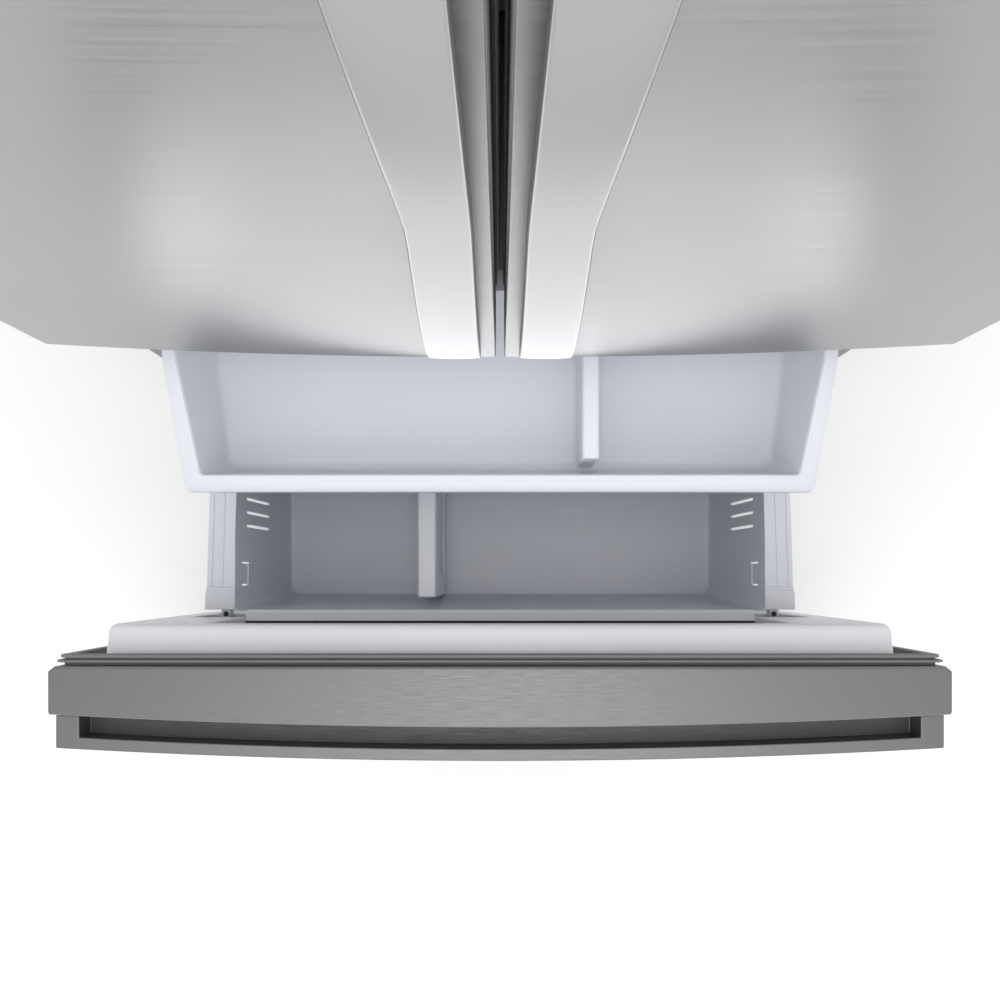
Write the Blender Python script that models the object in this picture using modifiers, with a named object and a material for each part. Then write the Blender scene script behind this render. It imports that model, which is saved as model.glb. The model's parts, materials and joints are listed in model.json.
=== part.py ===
"""French door refrigerator with a pull-out bottom freezer, drawer open on its stop.

Metres, +Z up, the doors face -Y. Every piece is given in cabinet coordinates, where y = 0 is
the cabinet's front plane, z = 0 is the floor, and the drawers are shut. The empty of each
drawer then carries its pieces out to where they stand at rest, and the assembly's empty
centres the whole object on the origin.
"""

import math

import bmesh
import bpy
from mathutils import Vector

# Fits
GAP = 0.0003                      # clearance between pieces that touch
WELD = 0.00001

# Cabinet
HALF_WIDTH = 0.454                # half of the doors' width
CABINET_HALF = 0.452
CABINET_DEPTH = 0.70
CABINET_TOP = 1.755
CABINET_BOTTOM = 0.050
STEEL = 0.002
PLASTIC = 0.003
CAVITY_HALF = 0.415
CAVITY_DEPTH = 0.62
FOOD_LOW, FOOD_HIGH = 0.745, 1.695
FREEZER_LOW, FREEZER_HIGH = 0.105, 0.680
STEP_DEPTH = 0.40                 # the freezer is this deep below its step
STEP_HEIGHT = 0.34                # the machine compartment lies below and behind the step
MACHINE_FRONT = 0.46
MACHINE_TOP = 0.28
PAN_LOW = 0.0462
PAN_HIGH = 0.0492

# Doors
SEAL = 0.012                      # gasket and liner flange between door and cabinet
DOOR_EDGE = 0.0487                # thickness at the outer edge
BULGE = 0.0133                    # extra thickness at the middle of the front
CENTRE_GAP = 0.008
DOOR_LOW, DOOR_HIGH = 0.708, 1.748
DOOR_ROUND = 0.0035
ARC_STEPS = 10
LINER_FACE = -0.009
CORE_BACK = -0.011                # the door's filling overlaps its liner's flange here
GASKET_FACE = -GAP
DIKE = 0.03                       # how far a door's liner reaches into the cabinet
HINGE_X, HINGE_Y = 0.436, -0.035
PIN_RADIUS, PIN_HOLE = 0.005, 0.006
MULLION_X, MULLION_Y = -0.029, 0.0095
MULLION_EDGE, MULLION_BACK = -0.0005, 0.0185
LINER_HALF = 0.4495
UPSTAND_IN, UPSTAND_OUT = 0.043, 0.407
UPSTAND_WALL, UPSTAND_FLOOR = 0.017, 0.004
GASKET_IN = 0.030

# Door handles: long bows, wider and flush at their ends
HANDLE_LOW, HANDLE_HIGH = 0.7095, 1.7465
HANDLE_PROUD = 0.048
HANDLE_THICK, HANDLE_TIP = 0.012, 0.0015
HANDLE_BOW = 2.4                  # how fast the bow falls back towards the door
HANDLE_WAIST = 0.03               # share of the length over which the flare rounds off
HANDLE_INNER, HANDLE_INNER_END = 0.0137, 0.0190
HANDLE_OUTER, HANDLE_OUTER_END = 0.0482, 0.0709
HANDLE_CUTS = 17
HANDLE_ROUND = 0.0015

# Freezer drawer
DRAWER_OUT = 0.37
DRAWER_LOW, DRAWER_HIGH = 0.075, 0.700
GRIP_HALF = 0.450
GRIP_PROUD = 0.035
GRIP_BAR = 0.0125
GRIP_POST = 0.0238
GRIP_ROUND = 0.003
GRIP_LOW, GRIP_FLOOR, GRIP_HIGH = 0.655, 0.662, 0.690
DIKE_TOP = 0.672
DIKE_FACE = 0.0275
DIKE_RECESS = 0.017
DIKE_HALF = 0.405
DIKE_RECESS_HALF, DIKE_RECESS_TOP = 0.376, 0.49
RAIL_IN, RAIL_OUT = 0.3333, 0.370
RAIL_LOW, RAIL_TOP = 0.4055, 0.440
RAIL_FRONT, RAIL_BACK = 0.0385, 0.400
STAY_IN = 0.355
SLIDE_LOW, SLIDE_HIGH = 0.370, 0.4052
SLIDE_FRONT, SLIDE_BACK = 0.030, 0.385
SLIDE_FIXED_IN, SLIDE_MIDDLE_IN, SLIDE_DRAWER_IN = 0.3780, 0.3595, 0.3465
SLIDE_WEB = 0.015
SLIDE_PLATE_LOW = 0.300
BASKET_FRONT, BASKET_BACK = 0.0222, 0.392
BASKET_FLOOR = 0.17
BASKET_HALF = 0.3327
BASKET_TAPER, BASKET_RIM, RIM_HALF = 0.014, 0.0126, 0.318
BASKET_DIVIDER_X, BASKET_DIVIDER_HALF, BASKET_WEB_HALF = -0.093, 0.012, 0.008
BASKET_DIVIDER_BACK = 0.345

# Upper tray, which the drawer brings out part of the way
TRAY_OUT = 0.24
TRAY_FRONT, TRAY_SLOPE_END, TRAY_BACK = 0.044, 0.195, 0.444
TRAY_FLOOR, TRAY_RIM_FRONT, TRAY_RIM_BACK = 0.470, 0.560, 0.610
TRAY_HALF_FRONT, TRAY_HALF_BACK = 0.355, 0.367
TRAY_RIM_SIDE, TRAY_RIM_DEEP = 0.016, 0.0195
LEDGE_TOP, LEDGE_BACK = 0.5345, 0.500
FLANGE_IN, FLANGE_OUT, FLANGE_THICK = 0.347, 0.388, 0.004
TRAY_DIVIDER_X, TRAY_DIVIDER_HALF = 0.1035, 0.010

# Fresh food compartment
SHELF_FRONT, SHELF_BACK = 0.14, 0.595
CRISPER_LOW, CRISPER_HIGH = 0.765, 0.945
CRISPER_IN, CRISPER_OUT, CRISPER_BACK = 0.006, 0.392, 0.575
CRISPER_TAPER, CRISPER_ROOM = 0.012, 0.012
SHELF_HEIGHT, SHELF_HALF, SHELF_THICK = 1.32, 0.4105, 0.004
LIP_DEEP, LIP_TALL, STOP_TALL = 0.014, 0.016, 0.020
LEDGE_WIDE = 0.012
BIN_IN, BIN_OUT = 0.075, 0.375
BIN_FRONT, BIN_BACK = 0.008, 0.125
BIN_TAPER, BIN_TALL = 0.010, 0.11
BIN_HEIGHTS = (("upper", 1.38), ("lower", 1.02))

# Base, feet and rollers
BASE_HALF = 0.440
PAN_FRONT = 0.010
TOE_FRONT, TOE_BACK = -0.020, -0.006
TOE_LOW, TOE_HIGH = 0.012, 0.066
TOE_ROWS = (0.026, 0.046)
TOE_SLOT_HALF, TOE_SLOT_PITCH, TOE_SLOT_TALL = 0.045, 0.115, 0.007
LEG_X, LEG_Y = 0.40, 0.05
LEG_PAD_RADIUS, LEG_PAD_TALL = 0.018, 0.012
LEG_STEM_RADIUS, LEG_STEM_TALL, LEG_STEM_MIDDLE = 0.006, 0.0345, 0.0285
ROLLER_X, ROLLER_Y = 0.3735, 0.64
ROLLER_RADIUS, ROLLER_WIDE = 0.022, 0.024
AXLE_RADIUS, AXLE_HOLE, AXLE_LONG = 0.0042, 0.0046, 0.036
EAR_OFFSET, EAR_HALF, EAR_REACH, EAR_LOW = 0.015, 0.0015, 0.018, 0.014

# Machine compartment and cold air
VENT_HALF, VENT_PITCH = 0.030, 0.085
VENT_LOW, VENT_TALL = 0.140, 0.012
COMPRESSOR_AT = (0.24, 0.575)
COMPRESSOR_PROFILE = (            # radius and height of its shell
    (0.0, 0.230), (0.035, 0.228), (0.062, 0.215), (0.078, 0.190), (0.082, 0.140),
    (0.082, 0.115), (0.074, 0.085), (0.055, 0.067), (0.0, 0.062),
)
ROUND_STEPS = 20
FOOT_REACH, FOOT_RADIUS = 0.06, 0.012
FOOT_MIDDLE, FOOT_TALL = 0.0645, 0.0298
COIL_RADIUS, COIL_RUNS = 0.004, 6
CONDENSER_ENDS, CONDENSER_HEIGHTS, CONDENSER_Y = (-0.36, -0.13), (0.09, 0.24), 0.59
EVAPORATOR_ENDS, EVAPORATOR_HEIGHTS, EVAPORATOR_Y = (-0.28, 0.28), (0.39, 0.53), 0.585
CONDENSER_FAN, CONDENSER_FAN_RADIUS = (-0.03, 0.59, 0.165), 0.075
EVAPORATOR_FAN, EVAPORATOR_FAN_RADIUS = (0.0, 0.582, 0.606), 0.050
HUB_SHARE, HUB_DEEP = 0.3, 0.018  # the hub's radius is this share of the fan's
BLADES, BLADE_PITCH = 5, 0.45     # pitch is the blade's rise for each unit along it
BLADE_LONG, BLADE_WIDE, BLADE_REACH, BLADE_THICK = 0.75, 0.5, 0.62, 0.002
AIR_COVER_HALF, AIR_COVER_FRONT, AIR_COVER_THICK = 0.404, 0.540, 0.004
AIR_SLOT_HALF, AIR_SLOT_PITCH, AIR_SLOT_LOW = 0.030, 0.090, 0.620
TOWER_HALF, TOWER_BACK, TOWER_MARGIN = 0.11, 0.6162, 0.03
TOWER_SLOTS, TOWER_SLOT_START, TOWER_SLOT_PITCH = 6, 0.26, 0.12
TOWER_SLOT_HALF, TOWER_SLOT_TALL = 0.08, 0.008

# Door hinges
TOTAL_TOP = 1.778
BRACKET_IN, BRACKET_OUT = 0.416, 0.446
BRACKET_REACH, BRACKET_BACK, BRACKET_THICK = 0.014, 0.090, 0.004
TOP_PIN_LONG, LOW_PIN_LONG = 0.022, 0.021
PIN_HOLE_DEEP = 0.025
CAP_PLAY = 0.0005
ANGLE_IN, ANGLE_OUT = 0.405, 0.447
ANGLE_REACH, ANGLE_THICK, ANGLE_LEAF = 0.012, 0.0035, 0.0028
ANGLE_LOW, ANGLE_TOP = 0.702, 0.7165

COLLECTION = "french_door_refrigerator"
FRONT_CENTRE = -(SEAL + DOOR_EDGE + BULGE)
MIDDLE_Y = (CABINET_DEPTH + FRONT_CENTRE - GRIP_PROUD - DRAWER_OUT) / 2

parts = bpy.data.collections.new(COLLECTION)
cutters = bpy.data.collections.new("cutters")
based_at = {}


# ---------------------------------------------------------------- helpers


def clear_scene():
    for item in list(bpy.data.objects):
        bpy.data.objects.remove(item, do_unlink=True)
    bpy.context.scene.collection.children.link(parts)
    bpy.context.scene.collection.children.link(cutters)
    cutters.hide_render = True


def look(name, colour, roughness, metallic=0.0, alpha=1.0):
    material = bpy.data.materials.get(name)
    if material is None:
        material = bpy.data.materials.new(name)
        material.use_nodes = True
        shader = material.node_tree.nodes["Principled BSDF"]
        shader.inputs["Base Color"].default_value = (*colour, 1.0)
        shader.inputs["Roughness"].default_value = roughness
        shader.inputs["Metallic"].default_value = metallic
        shader.inputs["Alpha"].default_value = alpha
        material.diffuse_color = (*colour, alpha)
    return material


def brushed():
    return look("brushed_stainless", (0.62, 0.62, 0.62), 0.32, 1.0)


def bright_steel():
    return look("handle_stainless", (0.78, 0.78, 0.78), 0.28, 1.0)


def grey_paint():
    return look("grey_paint", (0.20, 0.20, 0.21), 0.45)


def dark_plastic():
    return look("dark_plastic", (0.05, 0.05, 0.055), 0.5)


def white_plastic():
    return look("white_plastic", (0.86, 0.87, 0.90), 0.4)


def liner_plastic():
    return look("liner_plastic", (0.88, 0.88, 0.89), 0.45)


def clear_plastic():
    return look("clear_plastic", (0.80, 0.86, 0.90), 0.15, 0.0, 0.5)


def shelf_glass():
    return look("shelf_glass", (0.75, 0.85, 0.83), 0.08, 0.0, 0.4)


def rubber():
    return look("gasket_rubber", (0.24, 0.24, 0.25), 0.7)


def zinc():
    return look("zinc_steel", (0.60, 0.61, 0.62), 0.35, 1.0)


def foam():
    return look("foam", (0.85, 0.78, 0.55), 0.9)


def black_paint():
    return look("black_paint", (0.03, 0.03, 0.03), 0.5)


def joint_empty(name, at=(0.0, 0.0, 0.0), base=(0.0, 0.0, 0.0), parent=None):
    """An empty at a joint. base is the point of the cabinet that its children count from."""
    empty = bpy.data.objects.new(name, None)
    parts.objects.link(empty)
    empty.location = at
    empty.parent = parent
    based_at[name] = Vector(base)
    return empty


def finished(name, mesh, at, material, parent):
    """The object of a mesh whose own origin stands at this point of the cabinet."""
    item = bpy.data.objects.new(name, mesh)
    parts.objects.link(item)
    item.data.materials.clear()
    item.data.materials.append(material)
    item.parent = parent
    item.location = Vector(at) - based_at[parent.name]
    return item


def box_mesh(name, size):
    bm = bmesh.new()
    bmesh.ops.create_cube(bm, size=1.0)
    bmesh.ops.scale(bm, vec=size, verts=bm.verts)
    mesh = bpy.data.meshes.new(name)
    bm.to_mesh(mesh)
    bm.free()
    return mesh


def round_edges(item, width, segments=1):
    bevel = item.modifiers.new("round_edges", "BEVEL")
    bevel.width = width
    bevel.segments = segments
    bevel.limit_method = "ANGLE"
    bevel.angle_limit = math.radians(50)
    return item


def block(name, low, high, material, parent, rounding=0.0):
    low, high = Vector(low), Vector(high)
    item = finished(name, box_mesh(name, high - low), (low + high) / 2, material, parent)
    if rounding:
        round_edges(item, rounding)
    return item


def as_tool(item, target, operation):
    parts.objects.unlink(item)
    cutters.objects.link(item)
    item.hide_render = True
    item.display_type = "WIRE"
    item.parent = target.parent
    step = target.modifiers.new(item.name, "BOOLEAN")
    step.operation = operation
    step.solver = "EXACT"
    step.object = item


def cut_box(target, low, high):
    name = f"{target.name}_cut{len(target.modifiers)}"
    as_tool(block(name, low, high, grey_paint(), target.parent), target, "DIFFERENCE")


def join_box(target, low, high):
    name = f"{target.name}_add{len(target.modifiers)}"
    as_tool(block(name, low, high, target.data.materials[0], target.parent), target, "UNION")


def rod_mesh(name, radius, length, sides, axis):
    bm = bmesh.new()
    bmesh.ops.create_cone(
        bm, cap_ends=True, segments=sides, radius1=radius, radius2=radius, depth=length
    )
    turn = Vector((0, 0, 1)).rotation_difference(Vector(axis)).to_matrix()
    bmesh.ops.rotate(bm, cent=(0, 0, 0), matrix=turn, verts=bm.verts)
    mesh = bpy.data.meshes.new(name)
    bm.to_mesh(mesh)
    bm.free()
    mesh.shade_smooth()
    mesh.set_sharp_from_angle(angle=math.radians(40))
    return mesh


def rod(name, centre, radius, length, material, parent, axis=(0, 0, 1), sides=16):
    mesh = rod_mesh(name, radius, length, sides, axis)
    return finished(name, mesh, centre, material, parent)


def cut_rod(target, centre, radius, length, axis=(0, 0, 1)):
    name = f"{target.name}_bore{len(target.modifiers)}"
    tool = rod(name, centre, radius, length, grey_paint(), target.parent, axis)
    as_tool(tool, target, "DIFFERENCE")


def join_rod(target, centre, radius, length, axis=(0, 0, 1)):
    name = f"{target.name}_rod{len(target.modifiers)}"
    tool = rod(name, centre, radius, length, target.data.materials[0], target.parent, axis)
    as_tool(tool, target, "UNION")


def solid_curve(name, curve, at, material, parent):
    """A curve made into a welded mesh object."""
    guide = bpy.data.objects.new(name + "_curve", curve)
    parts.objects.link(guide)
    graph = bpy.context.evaluated_depsgraph_get()
    mesh = bpy.data.meshes.new_from_object(guide.evaluated_get(graph))
    bpy.data.objects.remove(guide, do_unlink=True)
    bm = bmesh.new()
    bm.from_mesh(mesh)
    bmesh.ops.remove_doubles(bm, verts=bm.verts, dist=WELD)
    bmesh.ops.recalc_face_normals(bm, faces=bm.faces)
    bm.to_mesh(mesh)
    bm.free()
    return finished(name, mesh, at, material, parent)


def slab(name, outline, low, high, material, parent):
    """An outline in plan, extruded from one height to another."""
    curve = bpy.data.curves.new(name, "CURVE")
    curve.dimensions = "2D"
    curve.fill_mode = "BOTH"
    curve.extrude = (high - low) / 2
    spline = curve.splines.new("POLY")
    spline.points.add(len(outline) - 1)
    for point, (x, y) in zip(spline.points, outline):
        point.co = (x, y, 0.0, 1.0)
    spline.use_cyclic_u = True
    return solid_curve(name, curve, (0.0, 0.0, (low + high) / 2), material, parent)


def tube(name, points, radius, material, parent):
    curve = bpy.data.curves.new(name, "CURVE")
    curve.dimensions = "3D"
    curve.bevel_depth = radius
    curve.bevel_resolution = 2
    curve.use_fill_caps = True
    spline = curve.splines.new("POLY")
    spline.points.add(len(points) - 1)
    for point, place in zip(spline.points, points):
        point.co = (*place, 1.0)
    item = solid_curve(name, curve, (0.0, 0.0, 0.0), material, parent)
    item.data.shade_smooth()
    return item


def ring(x0, x1, y0, y1, radius, breaks=()):
    """A rounded rectangle in plan, anticlockwise, with extra points on its long sides."""
    corners = (
        (x1 - radius, y0 + radius, -90),
        (x1 - radius, y1 - radius, 0),
        (x0 + radius, y1 - radius, 90),
        (x0 + radius, y0 + radius, 180),
    )
    points = []
    for number, (cx, cy, start) in enumerate(corners):
        for step in range(4):
            angle = math.radians(start + 30 * step)
            points.append((cx + radius * math.cos(angle), cy + radius * math.sin(angle)))
        if number == 0:
            points += [(x1, y) for y in breaks]
        if number == 2:
            points += [(x0, y) for y in reversed(breaks)]
    return points


def open_shell(name, rings, thickness, material, parent):
    """A loft up through these rings with a floor on the first, thickened outwards."""
    bm = bmesh.new()
    loops = [[bm.verts.new(point) for point in points] for points in rings]
    bm.faces.new(loops[0])
    for lower, upper in zip(loops, loops[1:]):
        for i in range(len(lower)):
            j = (i + 1) % len(lower)
            bm.faces.new((lower[i], upper[i], upper[j], lower[j]))
    mesh = bpy.data.meshes.new(name)
    bm.to_mesh(mesh)
    bm.free()
    item = finished(name, mesh, (0.0, 0.0, 0.0), material, parent)
    wall = item.modifiers.new("wall", "SOLIDIFY")
    wall.thickness = thickness
    wall.offset = -1.0
    wall.use_even_offset = True
    mesh.shade_smooth()
    mesh.set_sharp_from_angle(angle=math.radians(40))
    return item


def at_height(points, z):
    return [(x, y, z) for x, y in points]


def front_y(x):
    """The doors' bowed front."""
    return FRONT_CENTRE + BULGE * (x / HALF_WIDTH) ** 2


def bowed_outline(x0, x1, back):
    """Plan of a slab with a straight back and the doors' bowed front."""
    steps = [x1 + (x0 - x1) * i / ARC_STEPS for i in range(ARC_STEPS + 1)]
    return [(x0, back), (x1, back)] + [(x, front_y(x)) for x in steps]


# ---------------------------------------------------------------- cabinet


def cabinet_shell(root):
    """Steel wrap: sides, top and a front flange round the openings."""
    bm = bmesh.new()
    bmesh.ops.create_cube(bm, size=1.0)
    bm.faces.ensure_lookup_table()
    open_sides = [face for face in bm.faces if face.normal.y > 0.5 or face.normal.z < -0.5]
    bmesh.ops.delete(bm, geom=open_sides, context="FACES")
    size = (2 * CABINET_HALF, CABINET_DEPTH - STEEL - GAP, CABINET_TOP - CABINET_BOTTOM)
    bmesh.ops.scale(bm, vec=size, verts=bm.verts)
    mesh = bpy.data.meshes.new("cabinet_shell")
    bm.to_mesh(mesh)
    bm.free()
    centre = (0.0, size[1] / 2, (CABINET_TOP + CABINET_BOTTOM) / 2)
    shell = finished("cabinet_shell", mesh, centre, grey_paint(), root)
    wall = shell.modifiers.new("sheet", "SOLIDIFY")
    wall.thickness = STEEL
    wall.offset = -1.0
    wall.use_even_offset = True
    low = (-CAVITY_HALF, -STEEL, FREEZER_LOW)
    cut_box(shell, low, (CAVITY_HALF, 2 * STEEL, FOOD_HIGH))


def foam_insulation(root):
    inside = CABINET_HALF - STEEL - GAP
    front = STEEL + GAP
    back = CABINET_DEPTH - STEEL - 2 * GAP
    low = (-inside, front, PAN_HIGH + GAP)
    body = block("foam_insulation", low, (inside, back, CABINET_TOP - STEEL - GAP), foam(), root)
    cut_box(body, (-CAVITY_HALF, 0, FOOD_LOW), (CAVITY_HALF, CAVITY_DEPTH, FOOD_HIGH))
    cut_box(body, (-CAVITY_HALF, 0, FREEZER_LOW), (CAVITY_HALF, STEP_DEPTH, FREEZER_HIGH))
    upper = (-CAVITY_HALF, STEP_DEPTH - PLASTIC, STEP_HEIGHT)
    cut_box(body, upper, (CAVITY_HALF, CAVITY_DEPTH, FREEZER_HIGH))
    cut_box(body, (-CAVITY_HALF, MACHINE_FRONT, 0), (CAVITY_HALF, CABINET_DEPTH, MACHINE_TOP))


def fresh_food_liner(root):
    """White tub of the upper compartment, with ledges for the shelves."""
    out = CAVITY_HALF - GAP
    low = (-out, 0, FOOD_LOW + GAP)
    high = (out, CAVITY_DEPTH - GAP, FOOD_HIGH - GAP)
    tub = block("fresh_food_liner", low, high, liner_plastic(), root)
    inner = out - PLASTIC
    low = (-inner, -PLASTIC, FOOD_LOW + GAP + PLASTIC)
    high = (inner, CAVITY_DEPTH - GAP - PLASTIC, FOOD_HIGH - GAP - PLASTIC)
    cut_box(tub, low, high)
    for height in (SHELF_HEIGHT, CRISPER_HIGH + CRISPER_ROOM):
        for side in (-1, 1):
            ends = sorted((side * (inner + PLASTIC / 2), side * (inner - LEDGE_WIDE)))
            low = (ends[0], SHELF_FRONT, height - LEDGE_WIDE)
            join_box(tub, low, (ends[1], SHELF_BACK, height - GAP))


def freezer_liner(root):
    """White tub of the freezer, stepped over the machine compartment, with tray ledges."""
    out = CAVITY_HALF - GAP
    low = (-out, 0, FREEZER_LOW + GAP)
    high = (out, STEP_DEPTH - GAP, FREEZER_HIGH - GAP)
    tub = block("freezer_liner", low, high, liner_plastic(), root)
    low = (-out, STEP_DEPTH / 2, STEP_HEIGHT + GAP)
    join_box(tub, low, (out, CAVITY_DEPTH - GAP, FREEZER_HIGH - GAP))
    inner = out - PLASTIC
    top = FREEZER_HIGH - GAP - PLASTIC
    low = (-inner, -PLASTIC, FREEZER_LOW + GAP + PLASTIC)
    cut_box(tub, low, (inner, STEP_DEPTH - GAP - PLASTIC, top))
    low = (-inner, STEP_DEPTH / 2, STEP_HEIGHT + GAP + PLASTIC)
    cut_box(tub, low, (inner, CAVITY_DEPTH - GAP - PLASTIC, top))
    for side in (-1, 1):
        ends = sorted((side * (inner + PLASTIC / 2), side * (TRAY_HALF_BACK + 0.007)))
        low = (ends[0], SLIDE_FRONT, LEDGE_TOP - 0.008)
        join_box(tub, low, (ends[1], LEDGE_BACK, LEDGE_TOP))


def back_panels(root):
    """Flat sheet behind the foam and the vented cover of the machine compartment."""
    low = (-CABINET_HALF, CABINET_DEPTH - STEEL, MACHINE_TOP)
    block("back_panel", low, (CABINET_HALF, CABINET_DEPTH, CABINET_TOP), zinc(), root)
    low = (-CABINET_HALF, CABINET_DEPTH - STEEL, PAN_HIGH)
    high = (CABINET_HALF, CABINET_DEPTH, MACHINE_TOP - GAP)
    cover = block("machine_cover", low, high, grey_paint(), root)
    for column in range(-4, 5):
        x = column * VENT_PITCH
        low = (x - VENT_HALF, CABINET_DEPTH - 2 * STEEL, VENT_LOW)
        cut_box(cover, low, (x + VENT_HALF, CABINET_DEPTH + STEEL, VENT_LOW + VENT_TALL))


def base_pan(root):
    """Floor plate of the cabinet with the ears that carry the rear rollers."""
    low = (-BASE_HALF, PAN_FRONT, PAN_LOW)
    pan = block("base_pan", low, (BASE_HALF, CABINET_DEPTH - 2 * STEEL, PAN_HIGH), zinc(), root)
    for side in (-1, 1):
        hub = (side * ROLLER_X, ROLLER_Y, ROLLER_RADIUS)
        for offset in (-EAR_OFFSET, EAR_OFFSET):
            middle = hub[0] + offset
            low = (middle - EAR_HALF, ROLLER_Y - EAR_REACH, EAR_LOW)
            join_box(pan, low, (middle + EAR_HALF, ROLLER_Y + EAR_REACH, PAN_LOW + PLASTIC / 2))
        cut_rod(pan, hub, AXLE_HOLE, 4 * EAR_OFFSET, (1, 0, 0))


def toe_grille(root):
    low = (-BASE_HALF, TOE_FRONT, TOE_LOW)
    grille = block("toe_grille", low, (BASE_HALF, TOE_BACK, TOE_HIGH), dark_plastic(), root, 0.002)
    for row in TOE_ROWS:
        for column in range(-3, 4):
            x = column * TOE_SLOT_PITCH
            low = (x - TOE_SLOT_HALF, 2 * TOE_FRONT, row)
            cut_box(grille, low, (x + TOE_SLOT_HALF, 0.0, row + TOE_SLOT_TALL))


def center_crossrail(root):
    low = (-CAVITY_HALF + GAP, 0.0, FREEZER_HIGH + GAP)
    high = (CAVITY_HALF - GAP, STEEL - GAP / 3, FOOD_LOW - GAP)
    block("center_crossrail", low, high, grey_paint(), root)


def compressor(root):
    """Round welded shell standing on four feet."""
    bm = bmesh.new()
    verts = [bm.verts.new((x, 0.0, z)) for x, z in COMPRESSOR_PROFILE]
    for first, second in zip(verts, verts[1:]):
        bm.edges.new((first, second))
    mesh = bpy.data.meshes.new("compressor")
    bm.to_mesh(mesh)
    bm.free()
    shell = finished("compressor", mesh, (*COMPRESSOR_AT, 0.0), black_paint(), root)
    turned = shell.modifiers.new("turned", "SCREW")
    turned.steps = ROUND_STEPS
    turned.render_steps = ROUND_STEPS
    turned.use_merge_vertices = True
    turned.merge_threshold = 0.0001
    for corner in range(4):
        angle = math.radians(45 + 90 * corner)
        x = COMPRESSOR_AT[0] + FOOT_REACH * math.cos(angle)
        y = COMPRESSOR_AT[1] + FOOT_REACH * math.sin(angle)
        join_rod(shell, (x, y, FOOT_MIDDLE), FOOT_RADIUS, FOOT_TALL)


def serpentine(ends, heights):
    """Runs along x joined by half-round bends, climbing in z."""
    pitch = (heights[1] - heights[0]) / (COIL_RUNS - 1)
    points = []
    for number in range(COIL_RUNS):
        z = heights[0] + number * pitch
        start, end = ends if number % 2 == 0 else reversed(ends)
        points += [(start, z), (end, z)]
        if number < COIL_RUNS - 1:
            out = 1 if end > start else -1
            for step in (1, 2, 3):
                angle = math.radians(-90 + 45 * step)
                x = end + out * pitch / 2 * math.cos(angle)
                points.append((x, z + pitch / 2 + pitch / 2 * math.sin(angle)))
    return points


def coil(name, ends, y, heights, material, root):
    points = [(x, y, z) for x, z in serpentine(ends, heights)]
    tube(name, points, COIL_RADIUS, material, root)


def fan(name, centre, radius, spin, parent):
    """Hub and five pitched blades as one moulding, turning about this axis."""
    rotor = rod(name, centre, radius * HUB_SHARE, HUB_DEEP, dark_plastic(), parent, spin, 20)
    size = (radius * BLADE_LONG, radius * BLADE_WIDE, BLADE_THICK)
    axis = Vector(spin)
    upright = Vector((0, 0, 1)).cross(axis)
    for blade in range(BLADES):
        angle = 2 * math.pi * blade / BLADES
        outward = abs_first(upright) * math.cos(angle) + Vector((0, 0, 1)) * math.sin(angle)
        pitched = (axis.cross(outward) + BLADE_PITCH * axis).normalized()
        turn = (outward, pitched, outward.cross(pitched))
        mesh = box_mesh(name, size)
        item = finished(f"{name}_blade{blade}", mesh, centre, dark_plastic(), parent)
        for vertex in mesh.vertices:
            vertex.co = sum((side * c for side, c in zip(turn, vertex.co)), Vector())
        item.location += outward * radius * BLADE_REACH
        as_tool(item, rotor, "UNION")


def abs_first(direction):
    """This level direction, or its opposite, pointing towards +X or +Y."""
    return Vector([abs(part) for part in direction])


def freezer_air(root):
    """Vented cover in front of the evaporator, and the coil behind it."""
    low = (-AIR_COVER_HALF, AIR_COVER_FRONT, STEP_HEIGHT + 0.006)
    high = (AIR_COVER_HALF, AIR_COVER_FRONT + AIR_COVER_THICK, DIKE_TOP)
    cover = block("evaporator_cover", low, high, white_plastic(), root)
    for column in range(-3, 4):
        x = column * AIR_SLOT_PITCH
        low = (x - AIR_SLOT_HALF, AIR_COVER_FRONT - 0.01, AIR_SLOT_LOW)
        high = (x + AIR_SLOT_HALF, AIR_COVER_FRONT + 0.01, AIR_SLOT_LOW + 0.010)
        cut_box(cover, low, high)
    coil("evaporator_coil", EVAPORATOR_ENDS, EVAPORATOR_Y, EVAPORATOR_HEIGHTS, zinc(), root)


def air_tower(root):
    """Duct up the back of the fresh food space, with a slot above each shelf."""
    low = (-TOWER_HALF, SHELF_BACK + 0.006, FOOD_LOW + TOWER_MARGIN)
    high = (TOWER_HALF, TOWER_BACK, FOOD_HIGH - TOWER_MARGIN)
    tower = block("air_tower", low, high, white_plastic(), root, 0.004)
    for row in range(TOWER_SLOTS):
        z = FOOD_LOW + TOWER_SLOT_START + TOWER_SLOT_PITCH * row
        low = (-TOWER_SLOT_HALF, SHELF_BACK - 0.005, z)
        cut_box(tower, low, (TOWER_SLOT_HALF, SHELF_BACK + 0.012, z + TOWER_SLOT_TALL))


# ---------------------------------------------------------------- feet, rollers, hinges


def between(side, inner, outer):
    """The x range between these two distances from the middle, on one side."""
    return sorted((side * inner, side * outer))


def leveling_leg(side, name, empty):
    middle = (side * LEG_X, LEG_Y, LEG_PAD_TALL / 2)
    leg = rod(name, middle, LEG_PAD_RADIUS, LEG_PAD_TALL, dark_plastic(), empty)
    join_rod(leg, (side * LEG_X, LEG_Y, LEG_STEM_MIDDLE), LEG_STEM_RADIUS, LEG_STEM_TALL)


def rear_roller(side, name, empty):
    centre = (side * ROLLER_X, ROLLER_Y, ROLLER_RADIUS)
    wheel = rod(name, centre, ROLLER_RADIUS, ROLLER_WIDE, dark_plastic(), empty, (1, 0, 0), 24)
    join_rod(wheel, centre, AXLE_RADIUS, AXLE_LONG, (1, 0, 0))


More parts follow.
